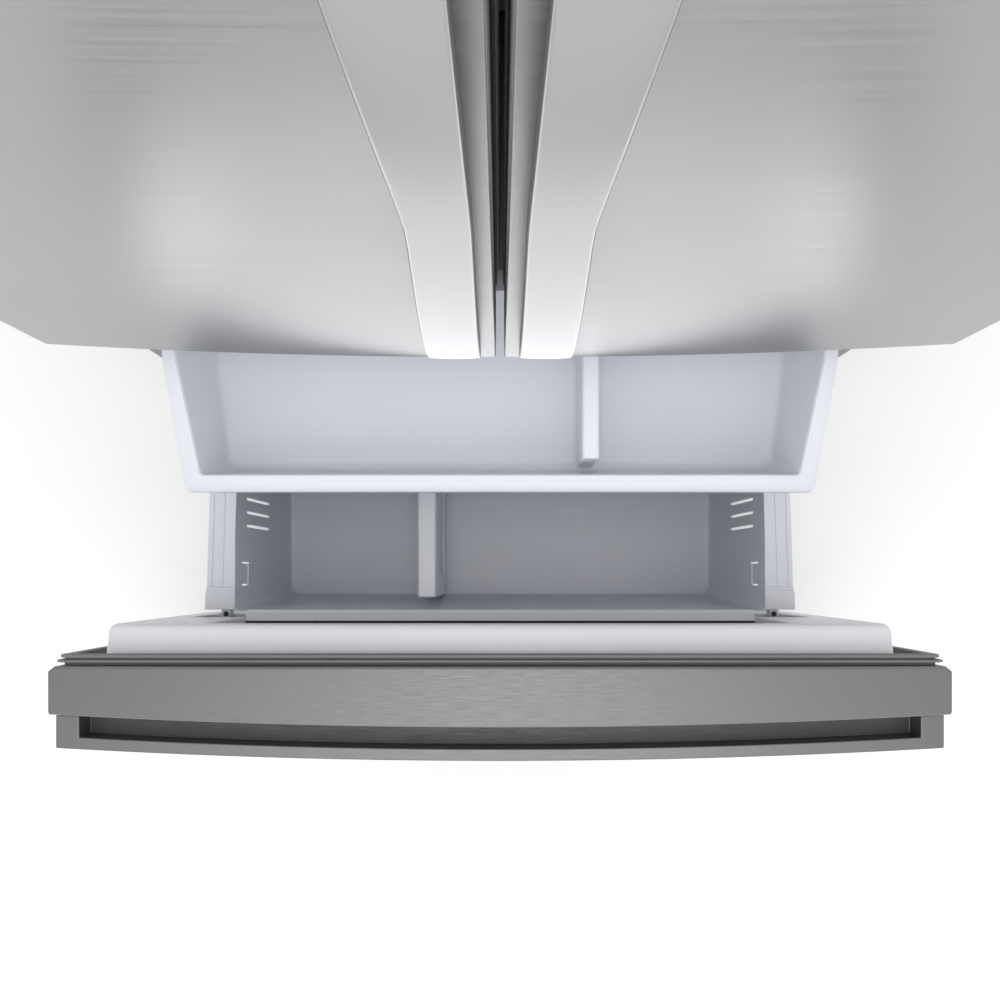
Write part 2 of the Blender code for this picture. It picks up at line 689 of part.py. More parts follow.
def top_hinge(side, label, root):
    """Bracket on the cabinet's roof with the upper pin, and the cap over it."""
    x0, x1 = between(side, BRACKET_IN, BRACKET_OUT)
    front = HINGE_Y - BRACKET_REACH
    low = (x0, front, CABINET_TOP + GAP)
    high = (x1, BRACKET_BACK, CABINET_TOP + BRACKET_THICK)
    bracket = block(f"hinge_top_{label}", low, high, zinc(), root)
    join_rod(bracket, (side * HINGE_X, HINGE_Y, CABINET_TOP - 0.009), PIN_RADIUS, TOP_PIN_LONG)
    c0, c1 = between(side, BRACKET_IN - 0.016, BRACKET_OUT + 0.004)
    low = (c0, front - 0.006, CABINET_TOP + 0.0005)
    high = (c1, BRACKET_BACK + 0.01, TOTAL_TOP)
    cap = block(f"hinge_cover_{label}", low, high, grey_paint(), root, 0.006)
    low = (x0 - CAP_PLAY, front - CAP_PLAY, CABINET_TOP - 0.01)
    high = (x1 + CAP_PLAY, BRACKET_BACK + CAP_PLAY, CABINET_TOP + BRACKET_THICK + GAP)
    cut_box(cap, low, high)


def center_hinge(side, label, root):
    """Angle under each door, screwed to the cabinet front, with the lower pin."""
    x0, x1 = between(side, ANGLE_IN, ANGLE_OUT)
    low = (x0, HINGE_Y - ANGLE_REACH, ANGLE_LOW)
    high = (x1, -GAP, ANGLE_LOW + ANGLE_THICK)
    bracket = block(f"hinge_center_{label}", low, high, zinc(), root)
    join_box(bracket, (x0, -ANGLE_LEAF, ANGLE_LOW + 0.0005), (x1, -GAP, ANGLE_TOP))
    pin = (side * HINGE_X, HINGE_Y, ANGLE_LOW + 0.0125)
    join_rod(bracket, pin, PIN_RADIUS, LOW_PIN_LONG)


# ---------------------------------------------------------------- fresh food doors


def door_skin(name, x0, x1, low, high, parent):
    """Steel pan of a door: bowed front and folded sides, open at the back."""
    skin = slab(name, bowed_outline(x0, x1, -SEAL), low, high, brushed(), parent)
    round_edges(skin, DOOR_ROUND, 2)
    hollow = door_filling(name + "_hollow", x0, x1, low, high, STEEL, SEAL, parent)
    as_tool(hollow, skin, "DIFFERENCE")
    return skin


def door_filling(name, x0, x1, low, high, inset, back, parent):
    """What a door's pan holds, this far inside its faces."""
    outline = [(x, y + inset) for x, y in bowed_outline(x0 + inset, x1 - inset, back - inset)]
    return slab(name, outline, low + inset, high - inset, liner_plastic(), parent)


def cut_pin_holes(side, target):
    for z in (DOOR_HIGH, DOOR_LOW):
        cut_rod(target, (side * HINGE_X, HINGE_Y, z), PIN_HOLE, 2 * PIN_HOLE_DEEP)


def fresh_food_door(side, label, empty):
    x0, x1 = between(side, CENTRE_GAP / 2, HALF_WIDTH)
    skin = door_skin(f"{label}_door_skin", x0, x1, DOOR_LOW, DOOR_HIGH, empty)
    cut_pin_holes(side, skin)
    door_liner(side, label, empty)
    door_gasket(side, label, empty)
    door_handle(side, label, empty)
    for tag, z in BIN_HEIGHTS:
        door_bin(side, f"{label}_bin_{tag}", z, empty)


def door_liner(side, label, empty):
    """Flange, foam core and the upstand that reaches into the cabinet, with its recess."""
    x0, x1 = between(side, CENTRE_GAP / 2 + 0.0005, LINER_HALF)
    low = (x0, -SEAL + GAP, DOOR_LOW + 0.005)
    high = (x1, LINER_FACE, DOOR_HIGH - 0.004)
    liner = block(f"{label}_door_liner", low, high, liner_plastic(), empty)
    x0, x1 = between(side, CENTRE_GAP / 2, HALF_WIDTH)
    core = (f"{label}_door_core", x0, x1, DOOR_LOW, DOOR_HIGH, STEEL + GAP, CORE_BACK, empty)
    as_tool(door_filling(*core), liner, "UNION")
    cut_pin_holes(side, liner)
    x0, x1 = between(side, UPSTAND_IN, UPSTAND_OUT)
    low = (x0, LINER_FACE - 0.0015, FOOD_LOW + 0.012)
    join_box(liner, low, (x1, DIKE, FOOD_HIGH - 0.012))
    x0, x1 = between(side, UPSTAND_IN + UPSTAND_WALL, UPSTAND_OUT - UPSTAND_WALL)
    low = (x0, UPSTAND_FLOOR, FOOD_LOW + 0.030)
    cut_box(liner, low, (x1, 2 * DIKE, FOOD_HIGH - 0.030))


def door_gasket(side, label, empty):
    x0, x1 = between(side, CENTRE_GAP / 2 - 0.0005, HINGE_X - 0.0005)
    low = (x0, LINER_FACE + GAP, FOOD_LOW - 0.0225)
    seal = block(f"{label}_door_gasket", low, (x1, GASKET_FACE, FOOD_HIGH + 0.0475), rubber(), empty)
    x0, x1 = between(side, GASKET_IN, CAVITY_HALF + 0.0015)
    cut_box(seal, (x0, -SEAL, FOOD_LOW - 0.0015), (x1, SEAL, FOOD_HIGH + 0.004))


def door_handle(side, label, empty):
    """Full-height bow, mid-part clear of the door, ends flared and flush with it."""
    bm = bmesh.new()
    bmesh.ops.create_cube(bm, size=2.0)
    upright = [e for e in bm.edges if abs(e.verts[0].co.z - e.verts[1].co.z) > 1.0]
    bmesh.ops.subdivide_edges(bm, edges=upright, cuts=HANDLE_CUTS)
    middle = (HANDLE_LOW + HANDLE_HIGH) / 2
    reach = (HANDLE_HIGH - HANDLE_LOW) / 2
    for vertex in bm.verts:
        u = math.sin(math.pi / 2 * vertex.co.z)
        flare = (math.hypot(u, HANDLE_WAIST) - HANDLE_WAIST) / (1 - HANDLE_WAIST)
        inner = HANDLE_INNER + (HANDLE_INNER_END - HANDLE_INNER) * flare
        outer = HANDLE_OUTER + (HANDLE_OUTER_END - HANDLE_OUTER) * flare
        x = side * (outer if vertex.co.x > 0 else inner)
        proud = HANDLE_TIP + (HANDLE_PROUD - HANDLE_TIP) * (1 - abs(u) ** HANDLE_BOW)
        thick = min(HANDLE_THICK, proud)
        y = front_y(HANDLE_INNER) - GAP - (proud if vertex.co.y < 0 else proud - thick)
        vertex.co = (x, y, middle + reach * u)
    if side < 0:
        bmesh.ops.reverse_faces(bm, faces=bm.faces)
    mesh = bpy.data.meshes.new(f"{label}_door_handle")
    bm.to_mesh(mesh)
    bm.free()
    bar = finished(f"{label}_door_handle", mesh, (0, 0, 0), bright_steel(), empty)
    round_edges(bar, HANDLE_ROUND, 1)


def door_bin(side, name, z, empty):
    """Clear pocket hung between the upstands of the door's liner."""
    x0, x1 = between(side, BIN_IN, BIN_OUT)
    floor = ring(x0 + BIN_TAPER, x1 - BIN_TAPER, BIN_TAPER, BIN_BACK - BIN_TAPER, 0.012)
    rim = ring(x0, x1, BIN_FRONT, BIN_BACK, 0.014)
    levels = [at_height(floor, z), at_height(rim, z + BIN_TALL)]
    open_shell(name, levels, PLASTIC, clear_plastic(), empty)


def flip_mullion(empty):
    """Upright bar on the left door that closes the slot between the doors."""
    low = (MULLION_X + 0.0015, GAP, FOOD_LOW + 0.006)
    high = (MULLION_EDGE, MULLION_BACK, FOOD_HIGH - 0.006)
    block("flip_mullion", low, high, grey_paint(), empty, 0.001)


# ---------------------------------------------------------------- fresh food inside


def shelf(side, label, root):
    """Half-width glass pane with a front lip and a rear stop, held by the ledge and the tower."""
    x0, x1 = between(side, 0.003, SHELF_HALF)
    z = SHELF_HEIGHT
    high = (x1, SHELF_BACK, z + SHELF_THICK)
    pane = block(f"shelf_{label}", (x0, SHELF_FRONT, z), high, shelf_glass(), root)
    join_box(pane, (x0, SHELF_FRONT, z + 0.001), (x1, SHELF_FRONT + LIP_DEEP, z + LIP_TALL))
    join_box(pane, (x0, SHELF_BACK - LIP_DEEP, z + 0.001), (x1, SHELF_BACK, z + STOP_TALL))


def crisper_cover(root):
    z = CRISPER_HIGH + CRISPER_ROOM
    high = (SHELF_HALF, SHELF_BACK, z + 0.005)
    cover = block("crisper_cover", (-SHELF_HALF, SHELF_FRONT, z), high, shelf_glass(), root)
    low = (-SHELF_HALF, SHELF_FRONT, z + 0.001)
    join_box(cover, low, (SHELF_HALF, SHELF_FRONT + LIP_DEEP, z + LIP_TALL))


def crisper(side, label, empty):
    x0, x1 = between(side, CRISPER_IN, CRISPER_OUT)
    front = SHELF_FRONT + CRISPER_TAPER
    floor = ring(x0 + CRISPER_TAPER, x1 - CRISPER_TAPER, front, CRISPER_BACK - 0.015, 0.012)
    top = ring(x0 + PLASTIC, x1 - PLASTIC, SHELF_FRONT + PLASTIC, CRISPER_BACK, 0.014)
    levels = [at_height(floor, CRISPER_LOW), at_height(top, CRISPER_HIGH)]
    open_shell(f"crisper_{label}", levels, PLASTIC, clear_plastic(), empty)


# ---------------------------------------------------------------- freezer drawer


def freezer_door(drawer):
    """Skin, liner with foam core and the dike round the opening, and the gasket."""
    door_skin("freezer_door_skin", -HALF_WIDTH, HALF_WIDTH, DRAWER_LOW, DRAWER_HIGH, drawer)
    low = (-LINER_HALF, -SEAL + GAP, DRAWER_LOW + 0.004)
    high = (LINER_HALF, LINER_FACE, DRAWER_HIGH - 0.003)
    liner = block("freezer_door_liner", low, high, liner_plastic(), drawer)
    core = ("freezer_door_core", -HALF_WIDTH, HALF_WIDTH, DRAWER_LOW, DRAWER_HIGH, STEEL + GAP)
    as_tool(door_filling(*core, CORE_BACK, drawer), liner, "UNION")
    low = (-DIKE_HALF, LINER_FACE - 0.0015, FREEZER_LOW + 0.010)
    join_box(liner, low, (DIKE_HALF, DIKE_FACE, DIKE_TOP))
    low = (-DIKE_RECESS_HALF, DIKE_RECESS, 0.0)
    cut_box(liner, low, (DIKE_RECESS_HALF, 2 * DIKE_FACE, DIKE_RECESS_TOP))
    low = (-LINER_HALF + 0.001, LINER_FACE + GAP, FREEZER_LOW - 0.022)
    high = (LINER_HALF - 0.001, GASKET_FACE, DRAWER_HIGH - 0.004)
    seal = block("freezer_door_gasket", low, high, rubber(), drawer)
    inner = (-CAVITY_HALF - 0.002, -SEAL, FREEZER_LOW + 0.001)
    cut_box(seal, inner, (CAVITY_HALF + 0.002, SEAL, FREEZER_HIGH + 0.002))


def freezer_handle(drawer):
    """Full-width trough grip: end posts, a front bar and a floor between them."""
    cuts = 2 * ARC_STEPS
    steps = [-GRIP_HALF + 2 * GRIP_HALF * i / cuts for i in range(cuts + 1)]
    outline = [(x, front_y(x) - 2 * GAP) for x in reversed(steps)]
    outline += [(x, front_y(x) - GRIP_PROUD) for x in steps]
    grip = slab("freezer_door_handle", outline, GRIP_LOW, GRIP_HIGH, brushed(), drawer)
    round_edges(grip, GRIP_ROUND, 2)
    hand = [x * (GRIP_HALF - GRIP_POST) / GRIP_HALF for x in steps]
    outline = [(x, front_y(x) + GRIP_PROUD) for x in reversed(hand)]
    outline += [(x, front_y(x) - GRIP_PROUD + GRIP_BAR) for x in hand]
    above = GRIP_HIGH + GRIP_PROUD
    pocket = slab("freezer_door_handle_pocket", outline, GRIP_FLOOR, above, brushed(), drawer)
    as_tool(pocket, grip, "DIFFERENCE")


def fixed_slide(side, label, root):
    """Channel on the liner's wall, open towards it above and below its web."""
    x0, x1 = between(side, SLIDE_FIXED_IN, CAVITY_HALF - GAP - PLASTIC - GAP)
    low = (x0, SLIDE_FRONT, SLIDE_LOW)
    fixed = block(f"slide_fixed_{label}", low, (x1, SLIDE_BACK, SLIDE_HIGH), zinc(), root)
    x0, x1 = between(side, SLIDE_FIXED_IN + SLIDE_WEB, CAVITY_HALF + SLIDE_WEB)
    for z in (SLIDE_LOW - 0.010, SLIDE_HIGH - 0.010):
        cut_box(fixed, (x0, -0.010, z), (x1, SLIDE_BACK + SLIDE_WEB, z + 0.020))


def slide_members(side, label, root, middle, drawer):
    """Telescopic slide: channel on the liner, running member, and the drawer's member."""
    fixed_slide(side, label, root)
    x0, x1 = between(side, SLIDE_MIDDLE_IN, SLIDE_FIXED_IN - 0.0005)
    low = (x0, SLIDE_FRONT, SLIDE_LOW + 0.003)
    high = (x1, SLIDE_BACK, SLIDE_HIGH - 0.003)
    block(f"slide_middle_{label}", low, high, zinc(), middle, 0.001)
    x0, x1 = between(side, SLIDE_DRAWER_IN, SLIDE_MIDDLE_IN - 0.001)
    low = (x0, DIKE_RECESS + 0.0005, SLIDE_LOW)
    high = (x1, SLIDE_BACK + 0.005, SLIDE_HIGH)
    member = block(f"slide_drawer_{label}", low, high, zinc(), drawer)
    x0, x1 = between(side, SLIDE_DRAWER_IN - 0.0065, SLIDE_MIDDLE_IN - 0.001)
    low = (x0, DIKE_RECESS + GAP, SLIDE_PLATE_LOW)
    join_box(member, low, (x1, DIKE_RECESS + PLASTIC, SLIDE_HIGH))


def rail_cover(side, label, drawer):
    """White moulding over the slide, with the stay that ties it to the door."""
    x0, x1 = between(side, RAIL_IN, RAIL_OUT)
    high = (x1, RAIL_BACK, RAIL_TOP)
    low = (x0, RAIL_FRONT, RAIL_LOW)
    cover = block(f"rail_cover_{label}", low, high, white_plastic(), drawer, 0.002)
    x0, x1 = between(side, STAY_IN, RAIL_OUT - 0.003)
    low = (x0, DIKE_RECESS + GAP, RAIL_LOW + 0.006)
    join_box(cover, low, (x1, RAIL_FRONT + 0.0065, RAIL_TOP - 0.010))


def lower_basket(drawer):
    """Deep moulded bin with a flat front rim, and the divider across it."""
    half = BASKET_HALF - PLASTIC
    rim, back = BASKET_FRONT + BASKET_RIM, BASKET_BACK - PLASTIC
    inner = half - BASKET_TAPER
    floor = ring(-inner, inner, rim + BASKET_TAPER, back - 0.022, 0.02)
    top = ring(-half, half, rim, back, 0.014)
    levels = [at_height(floor, BASKET_FLOOR), at_height(top, RAIL_TOP)]
    basket = open_shell("lower_basket", levels, PLASTIC, white_plastic(), drawer)
    low = (-RIM_HALF, BASKET_FRONT, RAIL_TOP - 0.010)
    join_box(basket, low, (RIM_HALF, rim - 0.0005, RAIL_TOP - 0.0001))
    basket_divider(rim, drawer)


def basket_divider(rim, drawer):
    """Upright across the basket, thinned to a web between its thick edges."""
    x, half = BASKET_DIVIDER_X, BASKET_DIVIDER_HALF
    low = (x - half, rim + BASKET_TAPER + 0.002, BASKET_FLOOR + GAP)
    high = (x + half, BASKET_DIVIDER_BACK, RAIL_TOP - 0.020)
    divider = block("basket_divider", low, high, white_plastic(), drawer, 0.002)
    front, bottom = rim + 0.050, BASKET_FLOOR + 0.050
    back, top = BASKET_DIVIDER_BACK - 0.025, RAIL_TOP - 0.060
    for side in (-1, 1):
        x0, x1 = sorted((x + side * BASKET_WEB_HALF, x + side * 0.030))
        cut_box(divider, (x0, front, bottom), (x1, back, top))


# ---------------------------------------------------------------- upper tray


def tray_share(y):
    """0 at the tray's front edge, 1 from the end of its sloping sides on."""
    return min(1.0, max(0.0, (y - TRAY_FRONT) / (TRAY_SLOPE_END - TRAY_FRONT)))


def tray_ring(inset, drop):
    """A ring of the tray's rim, this far inside its outline and this far below its top."""
    front = TRAY_FRONT + (inset * TRAY_RIM_DEEP / TRAY_RIM_SIDE if inset < 0.03 else inset)
    plan = ring(-1.0, 1.0, front, TRAY_BACK - inset, 0.018, (TRAY_SLOPE_END,))
    points = []
    for x, y in plan:
        share = tray_share(y)
        half = TRAY_HALF_FRONT + (TRAY_HALF_BACK - TRAY_HALF_FRONT) * share - inset
        side = math.copysign(1.0, x)
        z = TRAY_RIM_FRONT + (TRAY_RIM_BACK - TRAY_RIM_FRONT) * share - drop
        points.append((side * (half - (1.0 - abs(x))), y, z))
    return points


def upper_tray(tray):
    """Shallow moulded tray, low at the front, with side flanges that run on the ledges."""
    bottom = [(x, y, TRAY_FLOOR) for x, y, _ in tray_ring(0.028, 0.0)]
    levels = [bottom, tray_ring(TRAY_RIM_SIDE, 0.0), tray_ring(0.0, 0.0), tray_ring(0.0, 0.010)]
    body = open_shell("upper_tray", levels, 0.0025, white_plastic(), tray)
    for side in (-1, 1):
        x0, x1 = between(side, FLANGE_IN, FLANGE_OUT)
        low = (x0, TRAY_SLOPE_END + 0.030, LEDGE_TOP + GAP)
        join_box(body, low, (x1, TRAY_BACK - 0.020, LEDGE_TOP + FLANGE_THICK))
        x0, x1 = between(side, FLANGE_IN - 0.020, FLANGE_IN - 0.002)
        low = (x0, TRAY_SLOPE_END + 0.005, LEDGE_TOP - 0.001)
        cut_box(body, low, (x1, TRAY_BACK - 0.035, LEDGE_TOP + 0.006))
    x, half = TRAY_DIVIDER_X, TRAY_DIVIDER_HALF
    low = (x - half, TRAY_FRONT + 0.037, TRAY_FLOOR + GAP)
    high = (x + half, TRAY_BACK - 0.032, TRAY_RIM_FRONT)
    block("tray_divider", low, high, white_plastic(), tray, 0.002)


# ---------------------------------------------------------------- assembly


def build_cabinet(root):
    cabinet_shell(root)
    foam_insulation(root)
    fresh_food_liner(root)
    freezer_liner(root)
    back_panels(root)
    base_pan(root)
    toe_grille(root)
    center_crossrail(root)
    compressor(root)
    coil("condenser_coil", CONDENSER_ENDS, CONDENSER_Y, CONDENSER_HEIGHTS, black_paint(), root)
    freezer_air(root)
    air_tower(root)
    crisper_cover(root)


def build_fans(root):
    spin = joint_empty("condenser_fan_axis", at=CONDENSER_FAN, base=CONDENSER_FAN, parent=root)
    fan("condenser_fan", CONDENSER_FAN, CONDENSER_FAN_RADIUS, (1, 0, 0), spin)
    spin = joint_empty("evaporator_fan_axis", at=EVAPORATOR_FAN, base=EVAPORATOR_FAN, parent=root)
    fan("evaporator_fan", EVAPORATOR_FAN, EVAPORATOR_FAN_RADIUS, (0, 1, 0), spin)


def build_side(side, label, root, middle, drawer):
    """One side's door, hinges, shelf, crisper, slide, foot and roller."""
    pin = (side * HINGE_X, HINGE_Y, 0.0)
    door = joint_empty(f"{label}_door_axis", at=pin, base=pin, parent=root)
    fresh_food_door(side, label, door)
    top_hinge(side, label, root)
    center_hinge(side, label, root)
    shelf(side, label, root)
    slide_members(side, label, root, middle, drawer)
    rail_cover(side, label, drawer)
    foot = (side * LEG_X, LEG_Y, 0.0)
    leg = joint_empty(f"leg_{label}_axis", at=foot, base=foot, parent=root)
    leveling_leg(side, f"leveling_leg_{label}", leg)
    hub = (side * ROLLER_X, ROLLER_Y, ROLLER_RADIUS)
    axle = joint_empty(f"roller_{label}_axis", at=hub, base=hub, parent=root)
    rear_roller(side, f"rear_roller_{label}", axle)
    crisper(side, label, joint_empty(f"crisper_{label}_travel", parent=root))


def build():
    clear_scene()
    root = joint_empty("refrigerator", at=(0.0, -MIDDLE_Y, 0.0))
    build_cabinet(root)
    build_fans(root)
    drawer = joint_empty("drawer_travel", at=(0.0, -DRAWER_OUT, 0.0), parent=root)
    middle = joint_empty("slide_travel", at=(0.0, -DRAWER_OUT / 2, 0.0), parent=root)
    tray = joint_empty("tray_travel", at=(0.0, -TRAY_OUT, 0.0), parent=root)
    freezer_door(drawer)
    freezer_handle(drawer)
    lower_basket(drawer)
    upper_tray(tray)
    for side, label in ((-1, "left"), (1, "right")):
        build_side(side, label, root, middle, drawer)
    pivot = (MULLION_X, MULLION_Y, 0.0)
    hung = (MULLION_X + HINGE_X, MULLION_Y - HINGE_Y, 0.0)
    left_door = bpy.data.objects["left_door_axis"]
    flip_mullion(joint_empty("mullion_axis", at=hung, base=pivot, parent=left_door))


build()
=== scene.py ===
"""Looks of the french door refrigerator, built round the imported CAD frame.

Metres, the frame's own axes: the doors face -Y, +Z is up. Every position is read from the
CAD nodes' boxes, and every new piece rides on the body of the node that it stands for.
"""

import json
import math

import bmesh
import bpy
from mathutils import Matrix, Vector


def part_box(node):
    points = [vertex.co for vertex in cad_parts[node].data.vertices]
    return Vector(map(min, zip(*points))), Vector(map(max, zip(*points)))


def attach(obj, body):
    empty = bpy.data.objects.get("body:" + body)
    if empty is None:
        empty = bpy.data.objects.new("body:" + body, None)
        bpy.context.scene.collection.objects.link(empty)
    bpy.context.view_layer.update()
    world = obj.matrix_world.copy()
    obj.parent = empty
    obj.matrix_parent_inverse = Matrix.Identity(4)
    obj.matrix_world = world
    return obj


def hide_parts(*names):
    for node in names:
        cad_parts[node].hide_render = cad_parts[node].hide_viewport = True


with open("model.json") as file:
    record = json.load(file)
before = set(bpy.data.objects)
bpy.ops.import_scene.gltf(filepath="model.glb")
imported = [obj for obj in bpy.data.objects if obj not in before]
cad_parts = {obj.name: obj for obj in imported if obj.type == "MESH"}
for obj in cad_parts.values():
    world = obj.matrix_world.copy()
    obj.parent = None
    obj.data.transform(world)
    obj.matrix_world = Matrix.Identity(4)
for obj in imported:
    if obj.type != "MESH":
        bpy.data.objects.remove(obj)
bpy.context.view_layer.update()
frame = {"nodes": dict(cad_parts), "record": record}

# Doors: one bow runs across both of them and across the drawer
BULGE = 0.0133
EDGE_ROUND = 0.0030
EDGE_FOLD = 0.0034
BACK_CHAMFER = 0.0065
BOW_STEPS = 48

# Door handles, as in the CAD frame
HANDLE_PROUD = 0.048
HANDLE_THICK, HANDLE_TIP = 0.012, 0.0015
HANDLE_BOW = 2.4
HANDLE_WAIST = 0.03
HANDLE_INNER, HANDLE_INNER_END = 0.0137, 0.0190
HANDLE_OUTER, HANDLE_OUTER_END = 0.0482, 0.0709
HANDLE_CROWN = 0.0012
HANDLE_STATIONS = 56

# Drawer grip
GRIP_BAR = 0.0125
GRIP_POST = 0.0238
GRIP_FLOOR = 0.007

# Upper tray
TRAY_SLOPE = 0.151                # length of the sloping part of its sides
TRAY_DIP = 0.050                  # how far the front rim lies below the side rims
TRAY_HALF = 0.3585                # half its width at the front
TRAY_FLARE = 0.0125               # how much wider the tray is behind the slope
TRAY_WIDEN = 0.0065               # how much wider the side rims are at the front
TRAY_RIM_SIDE, TRAY_RIM_DEEP = 0.0150, 0.0185
CORNER_STEPS = 8

# Slots and clip holes in the basket's side walls
SLOTS = 6
SLOT_START, SLOT_PITCH, SLOT_WIDTH = 0.1200, 0.0175, 0.0038
CLIP_START, CLIP_LENGTH = 0.0440, 0.0284
CLIP_HALF, CLIP_DROP = 0.0012, 0.052

# Frames of the gaskets and of the drawer's liner
FRAME_CORNER, FRAME_STEPS = 0.012, 5


# ---------------------------------------------------------------- materials


class Nodes:
    """Short-hand for building one material's node tree."""

    def __init__(self, name):
        self.material = bpy.data.materials.new(name)
        self.material.use_nodes = True
        self.tree = self.material.node_tree
        self.shader = self.tree.nodes["Principled BSDF"]

    def add(self, kind):
        return self.tree.nodes.new(kind)

    def link(self, source, target):
        self.tree.links.new(source, target)

    def coords(self, scale=(1, 1, 1)):
        """Object coordinates, which are metres in the frame and ride with the body."""
        place = self.add("ShaderNodeTexCoord")
        mapping = self.add("ShaderNodeMapping")
        mapping.inputs["Scale"].default_value = scale
        self.link(place.outputs["Object"], mapping.inputs["Vector"])
        return mapping.outputs["Vector"]

    def noise(self, vector, scale, detail=3.0, roughness=0.5):
        node = self.add("ShaderNodeTexNoise")
        node.inputs["Scale"].default_value = scale
        node.inputs["Detail"].default_value = detail
        node.inputs["Roughness"].default_value = roughness
        self.link(vector, node.inputs["Vector"])
        return node.outputs["Fac"]

    def spread(self, value, low, high, start=0.3, end=0.7):
        """This value, mapped from start..end to low..high."""
        node = self.add("ShaderNodeMapRange")
        node.inputs["From Min"].default_value = start
        node.inputs["From Max"].default_value = end
        node.inputs["To Min"].default_value = low
        node.inputs["To Max"].default_value = high
        self.link(value, node.inputs["Value"])
        return node.outputs["Result"]

    def ramp(self, value, start, low, end, high):
        node = self.add("ShaderNodeValToRGB")
        first, last = node.color_ramp.elements
        first.position, first.color = start, (*low, 1)
        last.position, last.color = end, (*high, 1)
        self.link(value, node.inputs["Fac"])
        return node.outputs["Color"]

    def added(self, first, second):
        node = self.add("ShaderNodeMath")
        node.operation = "ADD"
        self.link(first, node.inputs[0])
        self.link(second, node.inputs[1])
        return node.outputs["Value"]

    def bump(self, height, strength, distance):
        node = self.add("ShaderNodeBump")
        node.inputs["Strength"].default_value = strength
        node.inputs["Distance"].default_value = distance
        self.link(height, node.inputs["Height"])
        self.link(node.outputs["Normal"], self.shader.inputs["Normal"])

    def put(self, socket, value):
        self.shader.inputs[socket].default_value = value

    def drive(self, socket, value):
        self.link(value, self.shader.inputs[socket])


def brushed_metal(name, tone, rough, streak, grain, depth, worn=0.06, ripple=0.18):
    """Steel with fine brushing: streak is how fast it varies along X, Y and Z."""
    n = Nodes(name)
    streaks = n.noise(n.coords(streak), 1.0, 5.0, 0.7)
    clouds = n.noise(n.coords((1.6, 1.6, 2.4)), 1.0, 3.0)
    low, high = tone * (1 - grain), min(1.0, tone * (1 + grain))
    n.drive("Base Color", n.ramp(streaks, 0.25, (low, low, low), 0.75, (high, high, high * 0.995)))
    n.put("Metallic", 1.0)
    fine = n.spread(streaks, rough * (1 - ripple), rough * (1 + ripple))
    n.drive("Roughness", n.added(fine, n.spread(clouds, -worn * rough, worn * rough)))
    n.bump(streaks, 0.5, depth)
    return n.material


def moulded(name, colour, rough, depth=0.00006, scale=900.0, shade=0.03, coat=0.0):
    """Plastic or paint: fine moulded texture, slight cloudiness in colour and gloss."""
    n = Nodes(name)
    fine = n.noise(n.coords(), scale, 2.0)
    clouds = n.noise(n.coords(), 7.0, 3.0)
    dark = tuple(c * (1 - shade) for c in colour)
    n.drive("Base Color", n.ramp(clouds, 0.3, dark, 0.7, colour))
    n.drive("Roughness", n.spread(clouds, rough * 0.9, rough * 1.15))
    n.put("Coat Weight", coat)
    n.bump(fine, 0.5, depth)
    return n.material


def clear(name, colour, rough, ior, through):
    n = Nodes(name)
    clouds = n.noise(n.coords(), 12.0, 2.0)
    n.drive("Base Color", n.ramp(clouds, 0.3, tuple(c * 0.985 for c in colour), 0.7, colour))
    n.drive("Roughness", n.spread(clouds, rough, rough * 1.6))
    n.put("Transmission Weight", through)
    n.put("IOR", ior)
    return n.material


def spangled_zinc(name):
    """Galvanised sheet with a faint spangle."""
    n = Nodes(name)
    cells = n.add("ShaderNodeTexVoronoi")
    cells.inputs["Scale"].default_value = 160.0
    n.link(n.coords(), cells.inputs["Vector"])
    split = n.add("ShaderNodeSeparateColor")
    n.link(cells.outputs["Color"], split.inputs["Color"])
    shade = split.outputs["Red"]
    n.drive("Base Color", n.ramp(shade, 0.0, (0.52, 0.53, 0.55), 1.0, (0.60, 0.61, 0.62)))
    n.put("Metallic", 1.0)
    n.drive("Roughness", n.spread(shade, 0.28, 0.42, 0.0, 1.0))
    n.bump(n.noise(n.coords(), 400.0, 2.0), 0.3, 0.00005)
    return n.material


